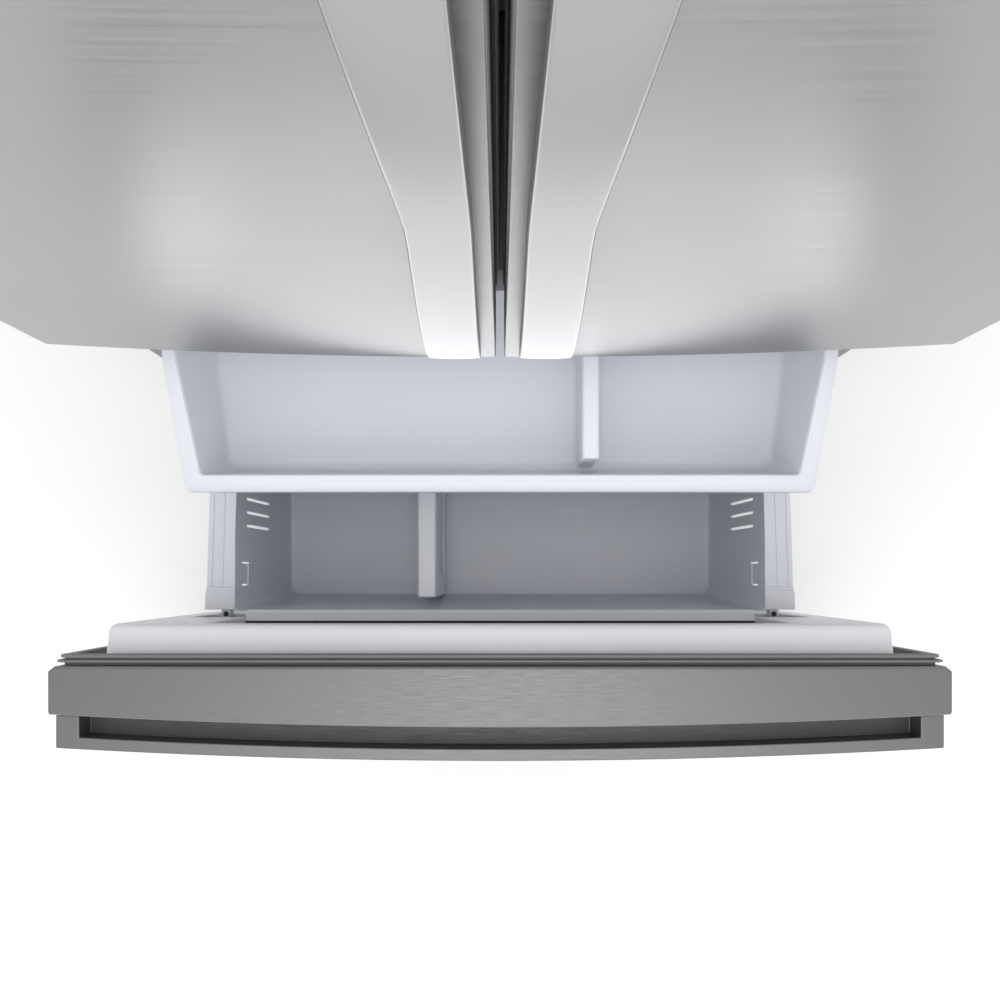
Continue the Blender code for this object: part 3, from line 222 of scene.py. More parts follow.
def make_looks():
    """(material, record slot) of each finish."""
    return {
        "steel": (brushed_metal("door_stainless", 0.385, 0.35, (3, 40, 420), 0.07, 0.00001),
                  "door_stainless"),
        "drawer": (brushed_metal("drawer_stainless", 0.40, 0.38, (3, 40, 420), 0.05, 0.00001),
                   "door_stainless"),
        # satin: the satin steel of the caps and the grip, also used as painted shade on the doors'
        # sides at their gap and on the handles' sides and backs
        "satin": (brushed_metal("satin_cap_and_painted_shade", 0.20, 0.50, (40, 900, 900), 0.02, 0.00001),
                  "door_stainless"),
        # trough: satin steel darkened as painted shade for the floor of the drawer grip's pocket
        "trough": (brushed_metal("trough_floor_painted_shade", 0.10, 0.55, (40, 900, 900), 0.02, 0.00001),
                   "door_stainless"),
        "bright": (brushed_metal("handle_stainless", 0.45, 0.30, (900, 900, 9), 0.004, 0.0000001,
                                 ripple=0.03), "handle_stainless"),
        "paint": (moulded("cabinet_paint", (0.21, 0.21, 0.216), 0.40, 0.00015, 700.0, 0.05),
                  "painted_cabinet"),
        "grey": (moulded("grey_moulding", (0.42, 0.42, 0.43), 0.45, 0.0001, 700.0, 0.04),
                 "painted_cabinet"),
        "liner": (moulded("liner_sheet", (0.70, 0.71, 0.745), 0.34, 0.00005, 300.0, 0.02),
                  "white_liner"),
        "white": (moulded("white_moulding", (0.73, 0.745, 0.80), 0.33, 0.00004, 900.0, 0.02),
                  "white_plastic"),
        "dark": (moulded("dark_moulding", (0.035, 0.035, 0.038), 0.5, 0.00012), "dark_plastic"),
        "black": (moulded("black_enamel", (0.015, 0.015, 0.016), 0.3, 0.0001, 500.0, 0.2),
                  "black_metal"),
        "foam": (moulded("foam_core", (0.78, 0.66, 0.40), 0.9, 0.0008, 300.0, 0.15), "foam_core"),
        "rubber": (moulded("gasket_rubber", (0.175, 0.18, 0.172), 0.62, 0.00006, 600.0, 0.08),
                   "gasket_rubber"),
        "zinc": (spangled_zinc("zinc_steel"), "zinc_steel"),
        "aluminium": (brushed_metal("drawn_aluminium", 0.75, 0.4, (300, 300, 300), 0.04, 0.00002),
                      "evaporator_aluminium"),
        "glass": (clear("shelf_glass", (0.86, 0.95, 0.93), 0.015, 1.5, 1.0), "shelf_glass"),
        "bins": (clear("clear_bins", (0.93, 0.96, 0.98), 0.05, 1.49, 0.92), "clear_bins"),
    }


# The CAD nodes that keep their shape but get softer edges: finish, edge radius, nodes
SOFTENED = (
    ("paint", 0.0020, ("cabinet_shell", "center_crossrail", "machine_cover")),
    ("paint", 0.0030, ("hinge_cover_left", "hinge_cover_right")),
    ("grey", 0.0012, ("flip_mullion",)),
    ("liner", 0.0010, ("fresh_food_liner", "freezer_liner")),
    ("liner", 0.0035, ("left_door_liner", "right_door_liner")),
    ("zinc", 0.0006, ("base_pan", "hinge_top_left", "hinge_top_right", "hinge_center_left",
                      "hinge_center_right", "back_panel")),
    ("zinc", 0.0010, ("slide_fixed_left", "slide_fixed_right", "slide_middle_left",
                      "slide_middle_right", "slide_drawer_left", "slide_drawer_right")),
    ("white", 0.0025, ("evaporator_cover", "air_tower", "basket_divider", "tray_divider")),
    ("glass", 0.0010, ("shelf_left", "shelf_right", "crisper_cover")),
    ("bins", 0.0008, ("left_bin_upper", "left_bin_lower", "right_bin_upper",
                      "right_bin_lower", "crisper_left", "crisper_right")),
    ("dark", 0.0006, ("toe_grille", "leveling_leg_left", "leveling_leg_right",
                      "rear_roller_left", "rear_roller_right", "condenser_fan",
                      "evaporator_fan")),
    ("foam", 0.0, ("foam_insulation",)),
    ("black", 0.0, ("compressor", "condenser_coil")),
    ("aluminium", 0.0, ("evaporator_coil",)),
)


def soften(node, look, width):
    """Dresses a CAD node; with a width, a copy with rounded edges stands in for it."""
    item = frame["nodes"][node]
    for holder in item.material_slots:
        holder.material = LOOKS[look][0]
    if not width:
        return
    bm = bmesh.new()
    bm.from_mesh(item.data)
    bm.transform(item.matrix_world)
    bmesh.ops.remove_doubles(bm, verts=bm.verts, dist=0.00001)
    bmesh.ops.dissolve_limit(
        bm, angle_limit=math.radians(1), verts=bm.verts, edges=bm.edges
    )
    piece(node + "_soft", bm, look, node, rounding=width, segments=2, angle=30)


# ---------------------------------------------------------------- mesh helpers


def body_of_node(node):
    for body, nodes in frame["record"]["behaviour"]["bodies"].items():
        if node in nodes:
            return body
    raise KeyError(node)


def piece(name, bm, look, node, replaces=True, rounding=0.0, segments=3, angle=40):
    """A mesh made into a piece that rides with this node's body."""
    mesh = bpy.data.meshes.new(name)
    bm.to_mesh(mesh)
    bm.free()
    item = bpy.data.objects.new(name, mesh)
    bpy.context.scene.collection.objects.link(item)
    material, slot = LOOKS[look]
    mesh.materials.append(material)
    mesh.shade_smooth()
    mesh.set_sharp_from_angle(angle=math.radians(angle))
    if rounding:
        round_edges(item, rounding, segments)
    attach(item, body_of_node(node))
    if replaces:
        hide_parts(node)
    return item


def round_edges(item, width, segments=3, limit=40):
    bevel = item.modifiers.new("rounding", "BEVEL")
    bevel.width = width
    bevel.segments = segments
    bevel.limit_method = "ANGLE"
    bevel.angle_limit = math.radians(limit)
    bevel.harden_normals = False
    weighted = item.modifiers.new("shading", "WEIGHTED_NORMAL")
    weighted.keep_sharp = False


def loft(bm, rings, cap_first=True, cap_last=True):
    """Quads between rings of equal length. Rings run anticlockwise seen from the last one."""
    loops = [[bm.verts.new(point) for point in ring] for ring in rings]
    for lower, upper in zip(loops, loops[1:]):
        for i in range(len(lower)):
            j = (i + 1) % len(lower)
            bm.faces.new((lower[i], lower[j], upper[j], upper[i]))
    if cap_first:
        bm.faces.new(list(reversed(loops[0])))
    if cap_last:
        bm.faces.new(loops[-1])
    return loops


def box_into(bm, low, high):
    low, high = Vector(low), Vector(high)
    made = bmesh.ops.create_cube(bm, size=1.0)
    bmesh.ops.scale(bm, vec=high - low, verts=made["verts"])
    bmesh.ops.translate(bm, vec=(low + high) / 2, verts=made["verts"])
    return made["verts"]


def rod_into(bm, centre, radius, length, axis=(0, 0, 1), sides=24, end_radius=None):
    end_radius = radius if end_radius is None else end_radius
    made = bmesh.ops.create_cone(
        bm, cap_ends=True, segments=sides, radius1=radius, radius2=end_radius, depth=length
    )
    turn = Vector((0, 0, 1)).rotation_difference(Vector(axis)).to_matrix()
    bmesh.ops.rotate(bm, cent=(0, 0, 0), matrix=turn, verts=made["verts"])
    bmesh.ops.translate(bm, vec=centre, verts=made["verts"])
    return made["verts"]


def box_bmesh(low, high):
    bm = bmesh.new()
    box_into(bm, low, high)
    return bm


def bake(item):
    """Applies the item's modifiers to its mesh."""
    graph = bpy.context.evaluated_depsgraph_get()
    made = bpy.data.meshes.new_from_object(item.evaluated_get(graph))
    old = item.data
    item.modifiers.clear()
    item.data = made
    made.name = item.name
    bpy.data.meshes.remove(old)
    made.shade_smooth()
    made.set_sharp_from_angle(angle=math.radians(40))


def carve(item, bm):
    """Cuts what this mesh holds out of an item, for good, before its edges are rounded."""
    mesh = bpy.data.meshes.new("cutter")
    bm.to_mesh(mesh)
    bm.free()
    tool = bpy.data.objects.new("cutter", mesh)
    bpy.context.scene.collection.objects.link(tool)
    cut = item.modifiers.new("cut", "BOOLEAN")
    cut.operation = "DIFFERENCE"
    cut.solver = "EXACT"
    cut.object = tool
    bake(item)
    bpy.data.objects.remove(tool, do_unlink=True)


def plan_ring(x0, x1, y0, y1, radius, steps=CORNER_STEPS):
    """A rounded rectangle, anticlockwise seen from above."""
    corners = (
        (x1, y0, -90, -1, 1), (x1, y1, 0, -1, -1), (x0, y1, 90, 1, -1), (x0, y0, 180, 1, 1),
    )
    points = []
    for x, y, start, inx, iny in corners:
        cx, cy = x + inx * radius, y + iny * radius
        for step in range(steps + 1):
            angle = math.radians(start + 90 * step / steps)
            points.append((cx + radius * math.cos(angle), cy + radius * math.sin(angle)))
    return points


# ---------------------------------------------------------------- doors

DOOR_LOW, DOOR_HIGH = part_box("left_door_skin")
DRAWER_LOW, DRAWER_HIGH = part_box("freezer_door_skin")
HALF_WIDTH = DRAWER_HIGH[0]


def bow(x, front):
    """The y of a bowed front at x, where front is its y at the middle."""
    return front + BULGE * (x / HALF_WIDTH) ** 2


def door_outline(x0, x1, front, back, corner=EDGE_ROUND):
    """Plan of a door, anticlockwise: bowed front with rounded corners, square back."""
    points = []
    for step in range(BOW_STEPS + 1):
        x = x0 + corner + (x1 - x0 - 2 * corner) * step / BOW_STEPS
        points.append((x, bow(x, front)))
    edge = bow(x1, front) + corner
    for step in range(1, 7):
        angle = math.radians(-90 + 15 * step)
        points.append((x1 - corner + corner * math.cos(angle), edge + corner * math.sin(angle)))
    points += [(x1, back - BACK_CHAMFER * 0.8), (x1 - BACK_CHAMFER, back)]
    points += [(x0 + BACK_CHAMFER, back), (x0, back - BACK_CHAMFER * 0.8)]
    edge = bow(x0, front) + corner
    for step in range(1, 7):
        angle = math.radians(180 + 15 * step)
        points.append((x0 + corner + corner * math.cos(angle), edge + corner * math.sin(angle)))
    return points[:-1]


def inset_outline(outline, low, high, front, back_inset, side_inset, front_inset):
    """The same outline, pulled in at its back, its sides and its front."""
    points = []
    for x, y in outline:
        share = (x - low) / (high - low) * 2 - 1
        depth = (y - bow(x, front)) / (outline[BOW_STEPS + 7][1] - bow(high, front))
        y += front_inset * (1 - depth) - back_inset * depth
        points.append((x - side_inset * share, y))
    return points


def door_panel(node):
    """Steel wrap of a door: one bowed sheet with folded edges, chamfered at the back."""
    low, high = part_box(node)
    front = DRAWER_LOW[1] if node == "freezer_door_skin" else DOOR_LOW[1]
    outline = door_outline(low[0], high[0], front, high[1])
    bm = bmesh.new()
    rings = []
    for z, back_inset, side_inset, front_inset in (
        (low[2], EDGE_FOLD, EDGE_FOLD / 3, EDGE_FOLD / 4), (low[2] + EDGE_FOLD / 2, 0, 0, 0),
        (high[2] - EDGE_FOLD / 2, 0, 0, 0), (high[2], EDGE_FOLD, EDGE_FOLD / 3, EDGE_FOLD / 4),
    ):
        insets = (back_inset, side_inset, front_inset)
        flat = inset_outline(outline, low[0], high[0], front, *insets)
        rings.append([(x, y, z) for x, y in flat])
    loft(bm, rings)
    look = "drawer" if node == "freezer_door_skin" else "steel"
    item = piece(node + "_wrap", bm, look, node, rounding=0.0009, segments=2, angle=20)
    # Top and bottom faces take the satin cap steel. The side faces at the gap between the doors
    # take it too, as painted shade: darker steel for the shade in that gap.
    item.data.materials.append(LOOKS["satin"][0])
    for face in item.data.polygons:
        centre = abs(face.center.x) < HANDLE_INNER and abs(face.normal.x) > 0.5
        if abs(face.normal.z) > 0.5 or centre:
            face.material_index = 1
    return item


def door_handle(label, side):
    """Full-height bow of satin steel with a slightly crowned face."""
    node = f"{label}_door_handle"
    low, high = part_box(node)
    middle, reach = (low[2] + high[2]) / 2, (high[2] - low[2]) / 2
    base = DOOR_LOW[1] - 0.0003
    rings = []
    for station in range(HANDLE_STATIONS + 1):
        u = math.sin(math.pi / 2 * (2 * station / HANDLE_STATIONS - 1))
        flare = (math.hypot(u, HANDLE_WAIST) - HANDLE_WAIST) / (1 - HANDLE_WAIST)
        inner = HANDLE_INNER + (HANDLE_INNER_END - HANDLE_INNER) * flare
        outer = HANDLE_OUTER + (HANDLE_OUTER_END - HANDLE_OUTER) * flare
        proud = HANDLE_TIP + (HANDLE_PROUD - HANDLE_TIP) * (1 - abs(u) ** HANDLE_BOW)
        thick = min(HANDLE_THICK, proud - 0.0002)
        ring = bar_section(inner, outer, base - proud, base - proud + thick)
        points = [(side * x, y, middle + reach * u) for x, y in ring]
        rings.append(points if side > 0 else list(reversed(points)))
    bm = bmesh.new()
    loft(bm, rings)
    item = piece(f"{label}_handle_bar", bm, "bright", node, angle=60)
    # The bow's sides and back take the darker satin steel as painted shade, for the shade along
    # its edges and behind it.
    item.data.materials.append(LOOKS["satin"][0])
    for face in item.data.polygons:
        if abs(face.normal.x) > 0.75 or face.normal.y > 0.5:
            face.material_index = 1
    return item


def bar_section(inner, outer, front, back):
    """Section of the bow, anticlockwise seen from above: crowned face, rounded corners."""
    radius = min(0.0028, (back - front) * 0.45)
    half = (outer - inner) / 2
    centre = (outer + inner) / 2
    points = []
    for step in range(13):
        x = inner + radius + (outer - inner - 2 * radius) * step / 12
        crown = HANDLE_CROWN * (1 - ((x - centre) / half) ** 2)
        points.append((x, front + HANDLE_CROWN * 0.9 - crown))
    points += quarter(outer - radius, points[-1][1] + radius, radius, -90, range(1, 5))
    points += [(outer, back - radius * 0.3), (outer - radius * 0.3, back)]
    points += [(inner + radius * 0.3, back), (inner, back - radius * 0.3)]
    points += quarter(inner + radius, points[0][1] + radius, radius, 180, range(4))
    return points


def quarter(x, y, radius, start, steps):
    """Points of a quarter turn about this centre, from this angle on."""
    angles = [math.radians(start + 22.5 * step) for step in steps]
    return [(x + radius * math.cos(angle), y + radius * math.sin(angle)) for angle in angles]


def drawer_grip():
    """Full-width trough grip: end posts, front bar and a floor between them."""
    node = "freezer_door_handle"
    low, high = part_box(node)
    front = low[1]
    half = high[0]
    proud = DRAWER_LOW[1] - low[1]
    outline = []
    steps = [-half + 2 * half * i / BOW_STEPS for i in range(BOW_STEPS + 1)]
    outline += [(x, bow(x, front)) for x in steps]
    outline += [(x, bow(x, front) + proud - 0.0006) for x in reversed(steps)]
    bm = bmesh.new()
    loft(bm, [[(x, y, z) for x, y in outline] for z in (low[2], high[2])])
    item = piece("drawer_grip", bm, "satin", node)
    hand = [x * (half - GRIP_POST) / half for x in steps]
    pocket = [(x, bow(x, front) + GRIP_BAR) for x in hand]
    pocket += [(x, bow(x, front) + 2 * proud) for x in reversed(hand)]
    bm = bmesh.new()
    loft(bm, [[(x, y, z) for x, y in pocket] for z in (low[2] + GRIP_FLOOR, high[2] + proud)])
    carve(item, bm)
    # The floor of the grip's pocket takes the dark trough steel: painted shade for the shade deep
    # in the pocket.
    item.data.materials.append(LOOKS["trough"][0])
    for face in item.data.polygons:
        if face.normal.z > 0.5 and face.center.z < low[2] + 2 * GRIP_FLOOR:
            face.material_index = 1
    round_edges(item, 0.0016, 3)
    return item


# ---------------------------------------------------------------- seals and door liners


def frame_ring(half, low, high, y):
    """A rounded rectangle standing in the XZ plane, anticlockwise seen from behind the door."""
    flat = plan_ring(-half, half, low, high, FRAME_CORNER, FRAME_STEPS)
    return [(x, y, z) for x, z in flat]


def gasket(label, node, sections):
    """Bellows seal: a closed section swept round the door. sections are (inset, depth)."""
    low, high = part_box(node)
    rings = []
    for inset, depth in sections:
        across, upright = (low[0] + inset, high[0] - inset), (low[2] + inset, high[2] - inset)
        ring = plan_ring(*across, *upright, FRAME_CORNER, FRAME_STEPS)
        rings.append([(x, low[1] + depth, z) for x, z in ring])
    bm = bmesh.new()
    loops = loft(bm, rings, False, False)
    for i in range(len(loops[0])):
        j = (i + 1) % len(loops[0])
        bm.faces.new((loops[-1][i], loops[-1][j], loops[0][j], loops[0][i]))
    bmesh.ops.recalc_face_normals(bm, faces=bm.faces)
    return piece(f"{label}_bellows", bm, "rubber", node, angle=35)


GASKET_SECTION = (
    (0.0000, 0.0000), (-0.0010, 0.0006), (-0.0010, 0.0020), (0.0000, 0.0026), (0.0050, 0.0028),
    (0.0050, 0.0044), (0.0022, 0.0046), (0.0016, 0.0052), (0.0016, 0.0072), (0.0030, 0.0080),
    (0.0090, 0.0083), (0.0130, 0.0083), (0.0138, 0.0076), (0.0138, 0.0020), (0.0120, 0.0000),
)


UPSTAND_HALF, UPSTAND_TOP, UPSTAND_BOTTOM = 0.409, 0.025, 0.036
UPSTAND_SOFT = 0.010
UPSTAND_EXTRA = 0.0015            # how much deeper than in the CAD frame it is
RECESS_HALF, RECESS_TOP, RECESS_DEEP = 0.376, 0.49, 0.0105
SLOT_HALF, SLOT_TOP = 0.3065, 0.645


def drawer_liner():
    """White sheet on the drawer door's back: soft-edged upstand, recessed for the basket."""
    node = "freezer_door_liner"
    low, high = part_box(node)
    gasket_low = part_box("freezer_door_gasket")[0]
    y0, y1 = gasket_low[1], high[1] + UPSTAND_EXTRA
    half, top, bottom = UPSTAND_HALF, high[2] - UPSTAND_TOP, low[2] + UPSTAND_BOTTOM
    sections = [(0.0, -0.004), (0.0015, -0.001), (0.004, 0.0), (0.020, 0.0015)]
    for step in range(1, 7):
        angle = math.radians(15 * step)
        inset = 0.002 + UPSTAND_SOFT * (1 - math.cos(angle)) * 0.7
        sections.append(((y1 - y0) - UPSTAND_SOFT * (1 - math.sin(angle)), inset))
    rings = []
    for depth, inset in sections:
        rings.append(frame_ring(half - inset, bottom + inset, top - inset, y0 + depth))
    bm = bmesh.new()
    loft(bm, rings)
    bmesh.ops.recalc_face_normals(bm, faces=bm.faces)
    item = piece("drawer_liner_upstand", bm, "liner", node, angle=50)
    step = ((RECESS_HALF, low[2] - 0.1), (RECESS_HALF, RECESS_TOP), (SLOT_HALF, RECESS_TOP),
            (SLOT_HALF, SLOT_TOP))
    outline = [*step, *((-x, z) for x, z in reversed(step))]
    recess = bmesh.new()
    loft(recess, [[(x, y, z) for x, z in outline] for y in (y1 + 0.02, high[1] - RECESS_DEEP)])
    bmesh.ops.recalc_face_normals(recess, faces=recess.faces)
    carve(item, recess)
    # The upright face deep in the recess takes the dark rubber colour: painted shade for the
    # shadowed gap behind the basket's front.
    item.data.materials.append(LOOKS["rubber"][0])
    for face in item.data.polygons:
        if face.normal.y > 0.9 and y0 + 0.01 < face.center.y < high[1] - RECESS_DEEP / 2:
            face.material_index = 1
    round_edges(item, 0.0025, 3, 50)
    # The liner's flange plate, kept narrow and coloured dark rubber: painted shade for the
    # shadowed groove between the door and the gasket.
    bm = box_bmesh((low[0] + 0.010, DRAWER_HIGH[1] + 0.0002, low[2] + 0.010),
                   (high[0] - 0.010, y0 - 0.0003, high[2] - 0.010))
    piece("drawer_liner_flange_painted_shade", bm, "rubber", node, replaces=False)
    return item


# ---------------------------------------------------------------- tray and basket


def tub(name, node, look, rings, thickness):
    """A moulded tub lofted up through these rings, with a floor on the first."""
    bm = bmesh.new()
    loops = [[bm.verts.new(point) for point in ring] for ring in rings]
    bm.faces.new(loops[0])
    for lower, upper in zip(loops, loops[1:]):
        for i in range(len(lower)):
            j = (i + 1) % len(lower)
            bm.faces.new((lower[i], upper[i], upper[j], lower[j]))
    item = piece(name, bm, look, node, angle=50)
    wall = item.modifiers.new("wall", "SOLIDIFY")
    wall.thickness = thickness
    wall.offset = -1.0
    wall.use_even_offset = True
    bake(item)
    return item


TRAY_LOW, TRAY_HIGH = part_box("upper_tray")
RIM_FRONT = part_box("lower_basket")[0][1] + 0.0126


def tray_point(x, y, inset, level, drop):
    share = min(1.0, max(0.0, (y - TRAY_LOW[1]) / TRAY_SLOPE))
    half = TRAY_HALF + TRAY_FLARE * share
    if inset > TRAY_RIM_SIDE * 0.7:
        half -= TRAY_WIDEN * (1 - share)
    z_rim = TRAY_HIGH[2] - TRAY_DIP * (1 - share)
    z = level if level is not None else z_rim - drop
    return (math.copysign(half - inset - (1.0 - abs(x)), x), y, z)


def tray_ring(inset, level=None, drop=0.0, radius=0.02):
    """A ring of the tray: plan inset, and a height, or a drop below the sloping rim."""
    front = TRAY_LOW[1] + inset * TRAY_RIM_DEEP / TRAY_RIM_SIDE
    flat = plan_ring(-1.0, 1.0, front, TRAY_HIGH[1] - inset, radius)
    points = []
    for index, (x, y) in enumerate(flat):
        points.append(tray_point(x, y, inset, level, drop))
        following = flat[(index + 1) % len(flat)]
        for step in range(1, 12):
            if abs(following[1] - y) < 0.1:
                break
            span = y + (following[1] - y) * step / 12
            points.append(tray_point(x, span, inset, level, drop))
    return points


def upper_tray():
    floor = TRAY_LOW[2] + 0.0025
    rings = [
        tray_ring(0.036, floor, radius=0.016),
        tray_ring(0.030, floor + 0.0008, radius=0.018),
        tray_ring(0.0265, floor + 0.004, radius=0.018),
        tray_ring(0.0250, floor + 0.010, radius=0.016),
        tray_ring(0.0165, drop=0.006, radius=0.0030),
        tray_ring(0.0156, drop=0.0016, radius=0.0025),
        tray_ring(0.0142, drop=0.0002, radius=0.0025),
        tray_ring(0.0070, drop=0.0, radius=0.004),
        tray_ring(0.0018, drop=0.0002, radius=0.006),
        tray_ring(0.0004, drop=0.0014, radius=0.006),
        tray_ring(0.0000, drop=0.0100, radius=0.006),
    ]
    return tub("tray_moulding", "upper_tray", "white", rings, 0.0022)


def lower_basket():
    low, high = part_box("lower_basket")
    half = high[0] - 0.0006
    rim = RIM_FRONT
    back = high[1] - 0.003
    floor, top = low[2] + 0.003, high[2]
    levels = (
        (0.030, floor, 0.016), (0.0175, floor + 0.001, 0.018), (0.0150, floor + 0.004, 0.018),
        (0.0140, floor + 0.010, 0.016), (0.0012, top - 0.012, 0.005), (0.0004, top - 0.002, 0.004),
    )
    rings = []
    for inset, z, radius in levels:
        ring = plan_ring(-half + inset, half - inset, rim + inset, back - inset * 1.5, radius)
        rings.append([(x, y, z) for x, y in ring])
    for out, z in ((0.0006, top - 0.0004), (0.0020, top)):
        ring = plan_ring(-half, half, rim - out, back + out * 0.5, 0.004)
        rings.append([(x, y, z) for x, y in ring])
    item = tub("basket_moulding", "lower_basket", "white", rings, 0.0026)
    cutters = bmesh.new()
    for side in (-1, 1):
        x0, x1 = sorted((side * (half - 0.030), side * (half + 0.01)))
        for row in range(SLOTS):
            y = low[1] + SLOT_START + SLOT_PITCH * row
            box_into(cutters, (x0, y, top - 0.155), (x1, y + SLOT_WIDTH, top - 0.050))
        for y in (low[1] + CLIP_START, low[1] + CLIP_START + CLIP_LENGTH):
            box_into(cutters, (x0, y, top - 0.066), (x1, y + 0.0024, top - 0.028))
    carve(item, cutters)
    bars = bmesh.new()
    for side in (-1, 1):
        x = side * (half - 0.0045)
        clip_low = (x - CLIP_HALF, low[1] + CLIP_START, top - CLIP_DROP)
        clip_high = (x + CLIP_HALF, low[1] + CLIP_START + CLIP_LENGTH, top - CLIP_DROP + 0.004)
        box_into(bars, clip_low, clip_high)
    piece("basket_clips", bars, "white", "lower_basket", rounding=0.0005)
    # A dark strip in the gap between the basket's front and the liner: painted shade standing in
    # for the shade down that gap, not a seal.
    gap_shade_low = (-GAP_SHADE_HALF, low[1] - 0.0045, top - 0.017)
    seal = box_bmesh(gap_shade_low, (GAP_SHADE_HALF, low[1] - 0.0004, top - 0.013))
    piece("basket_gap_painted_shade", seal, "dark", "lower_basket")
    front_rim(low, rim, top)


# Half widths of the basket's front rim and of the dark strip of painted shade in its front gap
RIM_HALF, GAP_SHADE_HALF = 0.3185, 0.366


def front_rim(low, rim, top):
    """Flat band along the basket's front edge, with a shoulder at each end."""
    bm = bmesh.new()
    outline = plan_ring(-RIM_HALF, RIM_HALF, low[1], rim + 0.0015, 0.003)
    loft(bm, [[(x, y, z) for x, y in outline] for z in (top - 0.010, top - 0.0002)])
    half = 0.0013 - low[0]
    box_into(bm, (-half, rim - 0.0042, top - 0.006), (half, rim - 0.0005, top))
    return piece("basket_front_rim", bm, "white", "lower_basket", rounding=0.0008)


RAIL_BLOCK, RAIL_BAND, RAIL_SEAM = 0.0230, 0.0036, 0.0010
RAIL_GROOVES = (0.40, 0.77)
RAIL_TAPER = 0.030                # the basket and its rails narrow by this towards the back
RAIL_GROOVE_DEEP, RAIL_GROOVE_WIDE = 0.0012, 0.0010


def narrow(bm, start):
    """Draws the sides of a mesh in towards the back, as the basket and its rails do."""
    for vert in bm.verts:
        if vert.co.y > start:
            vert.co.x -= math.copysign(RAIL_TAPER * (vert.co.y - start), vert.co.x)


def rail_cover(label, side):
    """Runner cover: end block, band and grooved rail, with open seams between them."""
    node = f"rail_cover_{label}"
    low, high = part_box(node)
    bm = bmesh.new()
    start = RIM_FRONT + 0.0018
    y = start
    box_into(bm, (low[0], y, low[2]), (high[0], y + RAIL_BLOCK, high[2]))
    y += RAIL_BLOCK + RAIL_SEAM
    band_high = (high[0] - 0.0008, y + RAIL_BAND, high[2] - 0.0004)
    box_into(bm, (low[0] + 0.0008, y, low[2]), band_high)
    y += RAIL_BAND + RAIL_SEAM
    inner, outer = (high[0], low[0]) if side < 0 else (low[0], high[0])
    edges = [inner + (outer - inner) * share for share in (0.02, *RAIL_GROOVES, 0.95)]
    for near, far in zip(edges, edges[1:]):
        x0, x1 = sorted((near, far))
        strip_high = (x1 - RAIL_GROOVE_WIDE / 2, high[1], high[2] - 0.0003)
        box_into(bm, (x0 + RAIL_GROOVE_WIDE / 2, y, low[2]), strip_high)
    core_high = (high[0] - 0.0012, high[1], high[2] - RAIL_GROOVE_DEEP)
    box_into(bm, (low[0] + 0.0012, start + 0.001, low[2]), core_high)
    narrow(bm, start)
    piece(f"{node}_moulding", bm, "white", node, rounding=0.0006, segments=2)


def slide_ends(label, side):
    """Black latch on the front end of the drawer's slide member."""
    node = f"slide_drawer_{label}"
    low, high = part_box(node)
    bm = bmesh.new()
    x = (low[0] + high[0]) / 2 + side * 0.003
    rod_into(bm, (x, low[1] + 0.0125, high[2] + 0.0005), 0.0034, 0.002)
    piece(f"slide_latch_{label}", bm, "black", node, replaces=False, rounding=0.0004)


RIB_ENDS = ((-0.336, -0.303), (0.346, 0.305), (0.374, 0.3195))
RIB_LOW, RIB_HIGH, RIB_RADIUS = 0.495, 0.664, 0.0013


def liner_ribs():
    """Slanted moulded ribs on the drawer door's liner beside the basket."""
    low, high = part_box("freezer_door_liner")
    bm = bmesh.new()
    for x0, x1 in RIB_ENDS:
        foot, head = Vector((x0, high[1], RIB_LOW)), Vector((x1, high[1], RIB_HIGH))
        span = head - foot
        rod_into(bm, (foot + head) / 2, RIB_RADIUS, span.length, span.normalized(), 10)
    piece("liner_ribs", bm, "liner", "freezer_door_liner", replaces=False)


# ---------------------------------------------------------------- back and shelves

SCREW_RADIUS, SCREW_DEEP, SCREW_MARGIN, SCREW_ROWS = 0.0042, 0.0022, 0.014, 6
PRESS_HALF, PRESS_DEEP, PRESS_MARGIN = 0.014, 0.0016, 0.10
LOUVRE_ROWS, LOUVRE_COLUMNS, LOUVRE_RADIUS, LOUVRE_MARGIN = 3, 9, 0.0034, 0.08


def screw_into(bm, x, back, z):
    rod_into(bm, (x, back + SCREW_DEEP / 2, z), SCREW_RADIUS, SCREW_DEEP, (0, 1, 0), 16)


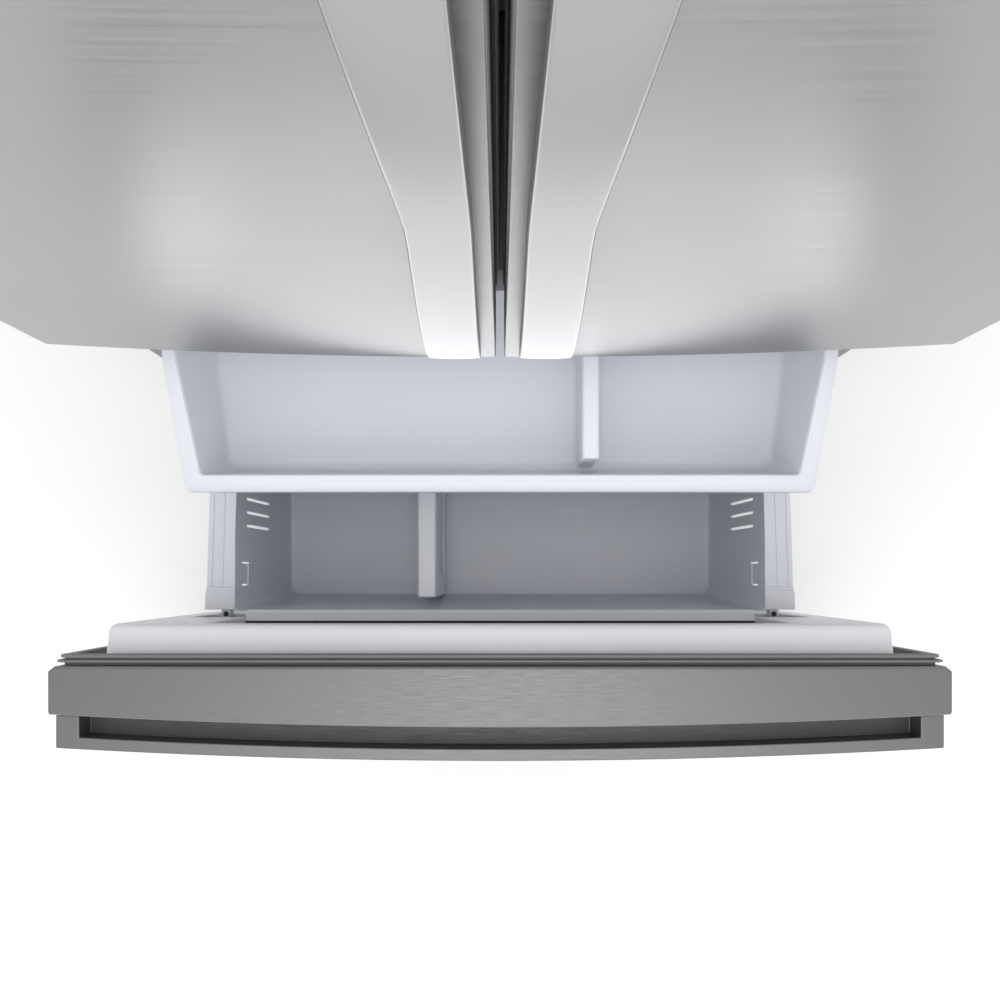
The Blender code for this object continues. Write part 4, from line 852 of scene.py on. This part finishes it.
def back_details():
    """Pressed ribs and screws on the back panel, louvres on the machine cover."""
    low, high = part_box("back_panel")
    back = high[1]
    ribs = bmesh.new()
    for share in (0.2, 0.5, 0.8):
        x = low[0] + (high[0] - low[0]) * share
        rib_low = (x - PRESS_HALF, back - PRESS_DEEP, low[2] + PRESS_MARGIN)
        box_into(ribs, rib_low, (x + PRESS_HALF, back + PRESS_DEEP, high[2] - PRESS_MARGIN))
    piece("back_ribs", ribs, "zinc", "back_panel", replaces=False, rounding=0.0012)
    screws = bmesh.new()
    for row in range(SCREW_ROWS):
        z = low[2] + 0.02 + (high[2] - low[2] - 0.04) * row / (SCREW_ROWS - 1)
        for x in (low[0] + SCREW_MARGIN, high[0] - SCREW_MARGIN):
            screw_into(screws, x, back, z)
    low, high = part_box("machine_cover")
    for x in (low[0] + SCREW_MARGIN, (low[0] + high[0]) / 2, high[0] - SCREW_MARGIN):
        for z in (low[2] + SCREW_MARGIN, high[2] - SCREW_MARGIN):
            screw_into(screws, x, high[1], z)
    piece("back_screws", screws, "zinc", "back_panel", replaces=False, rounding=0.0008)
    louvres = bmesh.new()
    pitch = (high[0] - low[0] - 2 * LOUVRE_MARGIN) / LOUVRE_COLUMNS
    for row in range(LOUVRE_ROWS):
        z = low[2] + (high[2] - low[2]) * (0.24 + 0.13 * row)
        for column in range(LOUVRE_COLUMNS):
            x = low[0] + LOUVRE_MARGIN + pitch * (column + 0.5)
            rod_into(louvres, (x, high[1], z), LOUVRE_RADIUS, pitch * 0.7, (1, 0, 0), 16)
    piece("machine_louvres", louvres, "paint", "machine_cover", replaces=False)


TRIM_DEEP = 0.014


def shelf_trims():
    """White moulding along the front edge of each glass shelf."""
    for node in ("shelf_left", "shelf_right", "crisper_cover"):
        low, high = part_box(node)
        trim_low = (low[0] + 0.001, low[1] - 0.003, low[2] - 0.0035)
        bm = box_bmesh(trim_low, (high[0] - 0.001, low[1] + TRIM_DEEP, high[2] + 0.0022))
        piece(f"{node}_trim", bm, "white", node, replaces=False, rounding=0.0022)


# ---------------------------------------------------------------- studio

# The camera hangs in front of the shut doors, level with their tops, and looks straight down.
CAMERA_FORWARD = 0.218
CAMERA_DROP = 0.005
CAMERA_LENS = 37.44
CAMERA_SHIFT = 0.0765


def camera():
    data = bpy.data.cameras.new("camera")
    data.lens = CAMERA_LENS
    data.sensor_width = 36.0
    data.shift_y = CAMERA_SHIFT
    item = bpy.data.objects.new("camera", data)
    item.location = (0.0, DOOR_LOW[1] - CAMERA_FORWARD, DOOR_HIGH[2] - CAMERA_DROP)
    bpy.context.scene.collection.objects.link(item)
    bpy.context.scene.camera = item


def lamp(name, at, towards, size, power):
    data = bpy.data.lights.new(name, "AREA")
    data.shape = "RECTANGLE"
    data.size, data.size_y = size
    data.energy = power
    item = bpy.data.objects.new(name, data)
    item.location = at
    item.rotation_euler = (Vector(towards) - Vector(at)).to_track_quat("-Z", "Y").to_euler()
    bpy.context.scene.collection.objects.link(item)
    return item


def studio():
    bm = bmesh.new()
    bmesh.ops.create_grid(bm, x_segments=8, y_segments=8, size=6.0)
    mesh = bpy.data.meshes.new("studio_floor")
    bm.to_mesh(mesh)
    bm.free()
    floor = bpy.data.objects.new("studio_floor", mesh)
    bpy.context.scene.collection.objects.link(floor)
    sheet = moulded("studio_floor", (0.985, 0.985, 0.985), 0.9, 0.0001, 60.0, 0.01)
    glow = sheet.node_tree.nodes["Principled BSDF"].inputs
    glow["Emission Color"].default_value = (1.0, 1.0, 1.0, 1)
    glow["Emission Strength"].default_value = 0.07
    floor.data.materials.append(sheet)
    world = bpy.data.worlds.new("studio")
    bpy.context.scene.world = world
    world.use_nodes = True
    background = world.node_tree.nodes["Background"]
    background.inputs["Color"].default_value = (1.0, 1.0, 1.0, 1)
    background.inputs["Strength"].default_value = 1.0
    lamp("left", (-0.32, -1.15, 1.75), (-0.22, -0.15, 1.15), (0.8, 0.8), 2.2)
    lamp("right", (0.32, -1.15, 1.75), (0.22, -0.15, 1.15), (0.8, 0.8), 2.2)
    lamp("overhead", (0, -0.62, 2.6), (0, -0.58, 0), (0.5, 0.5), 5.8)
    card = lamp("card", (0, -0.345, 0.704), (0, -0.345, 2.0), (0.76, 0.32), 0.72)
    card.data.shape = "ELLIPSE"
    card.visible_camera = False
    fill = lamp("fill", (0, -0.22, 0.68), (0, -0.22, 0), (0.66, 0.16), 0.17)
    fill.visible_camera = False
    bpy.context.scene.view_settings.view_transform = "Standard"


# ---------------------------------------------------------------- build

LOOKS = make_looks()
for look, width, nodes in SOFTENED:
    for node in nodes:
        soften(node, look, width)
for skin in ("left_door_skin", "right_door_skin", "freezer_door_skin"):
    door_panel(skin)
door_handle("left", -1)
door_handle("right", 1)
drawer_grip()
for seal in ("left_door_gasket", "right_door_gasket", "freezer_door_gasket"):
    gasket(seal.rsplit("_", 1)[0], seal, GASKET_SECTION)
drawer_liner()
upper_tray()
lower_basket()
for label, side in (("left", -1), ("right", 1)):
    rail_cover(label, side)
    slide_ends(label, side)
liner_ribs()
back_details()
shelf_trims()
studio()
camera()
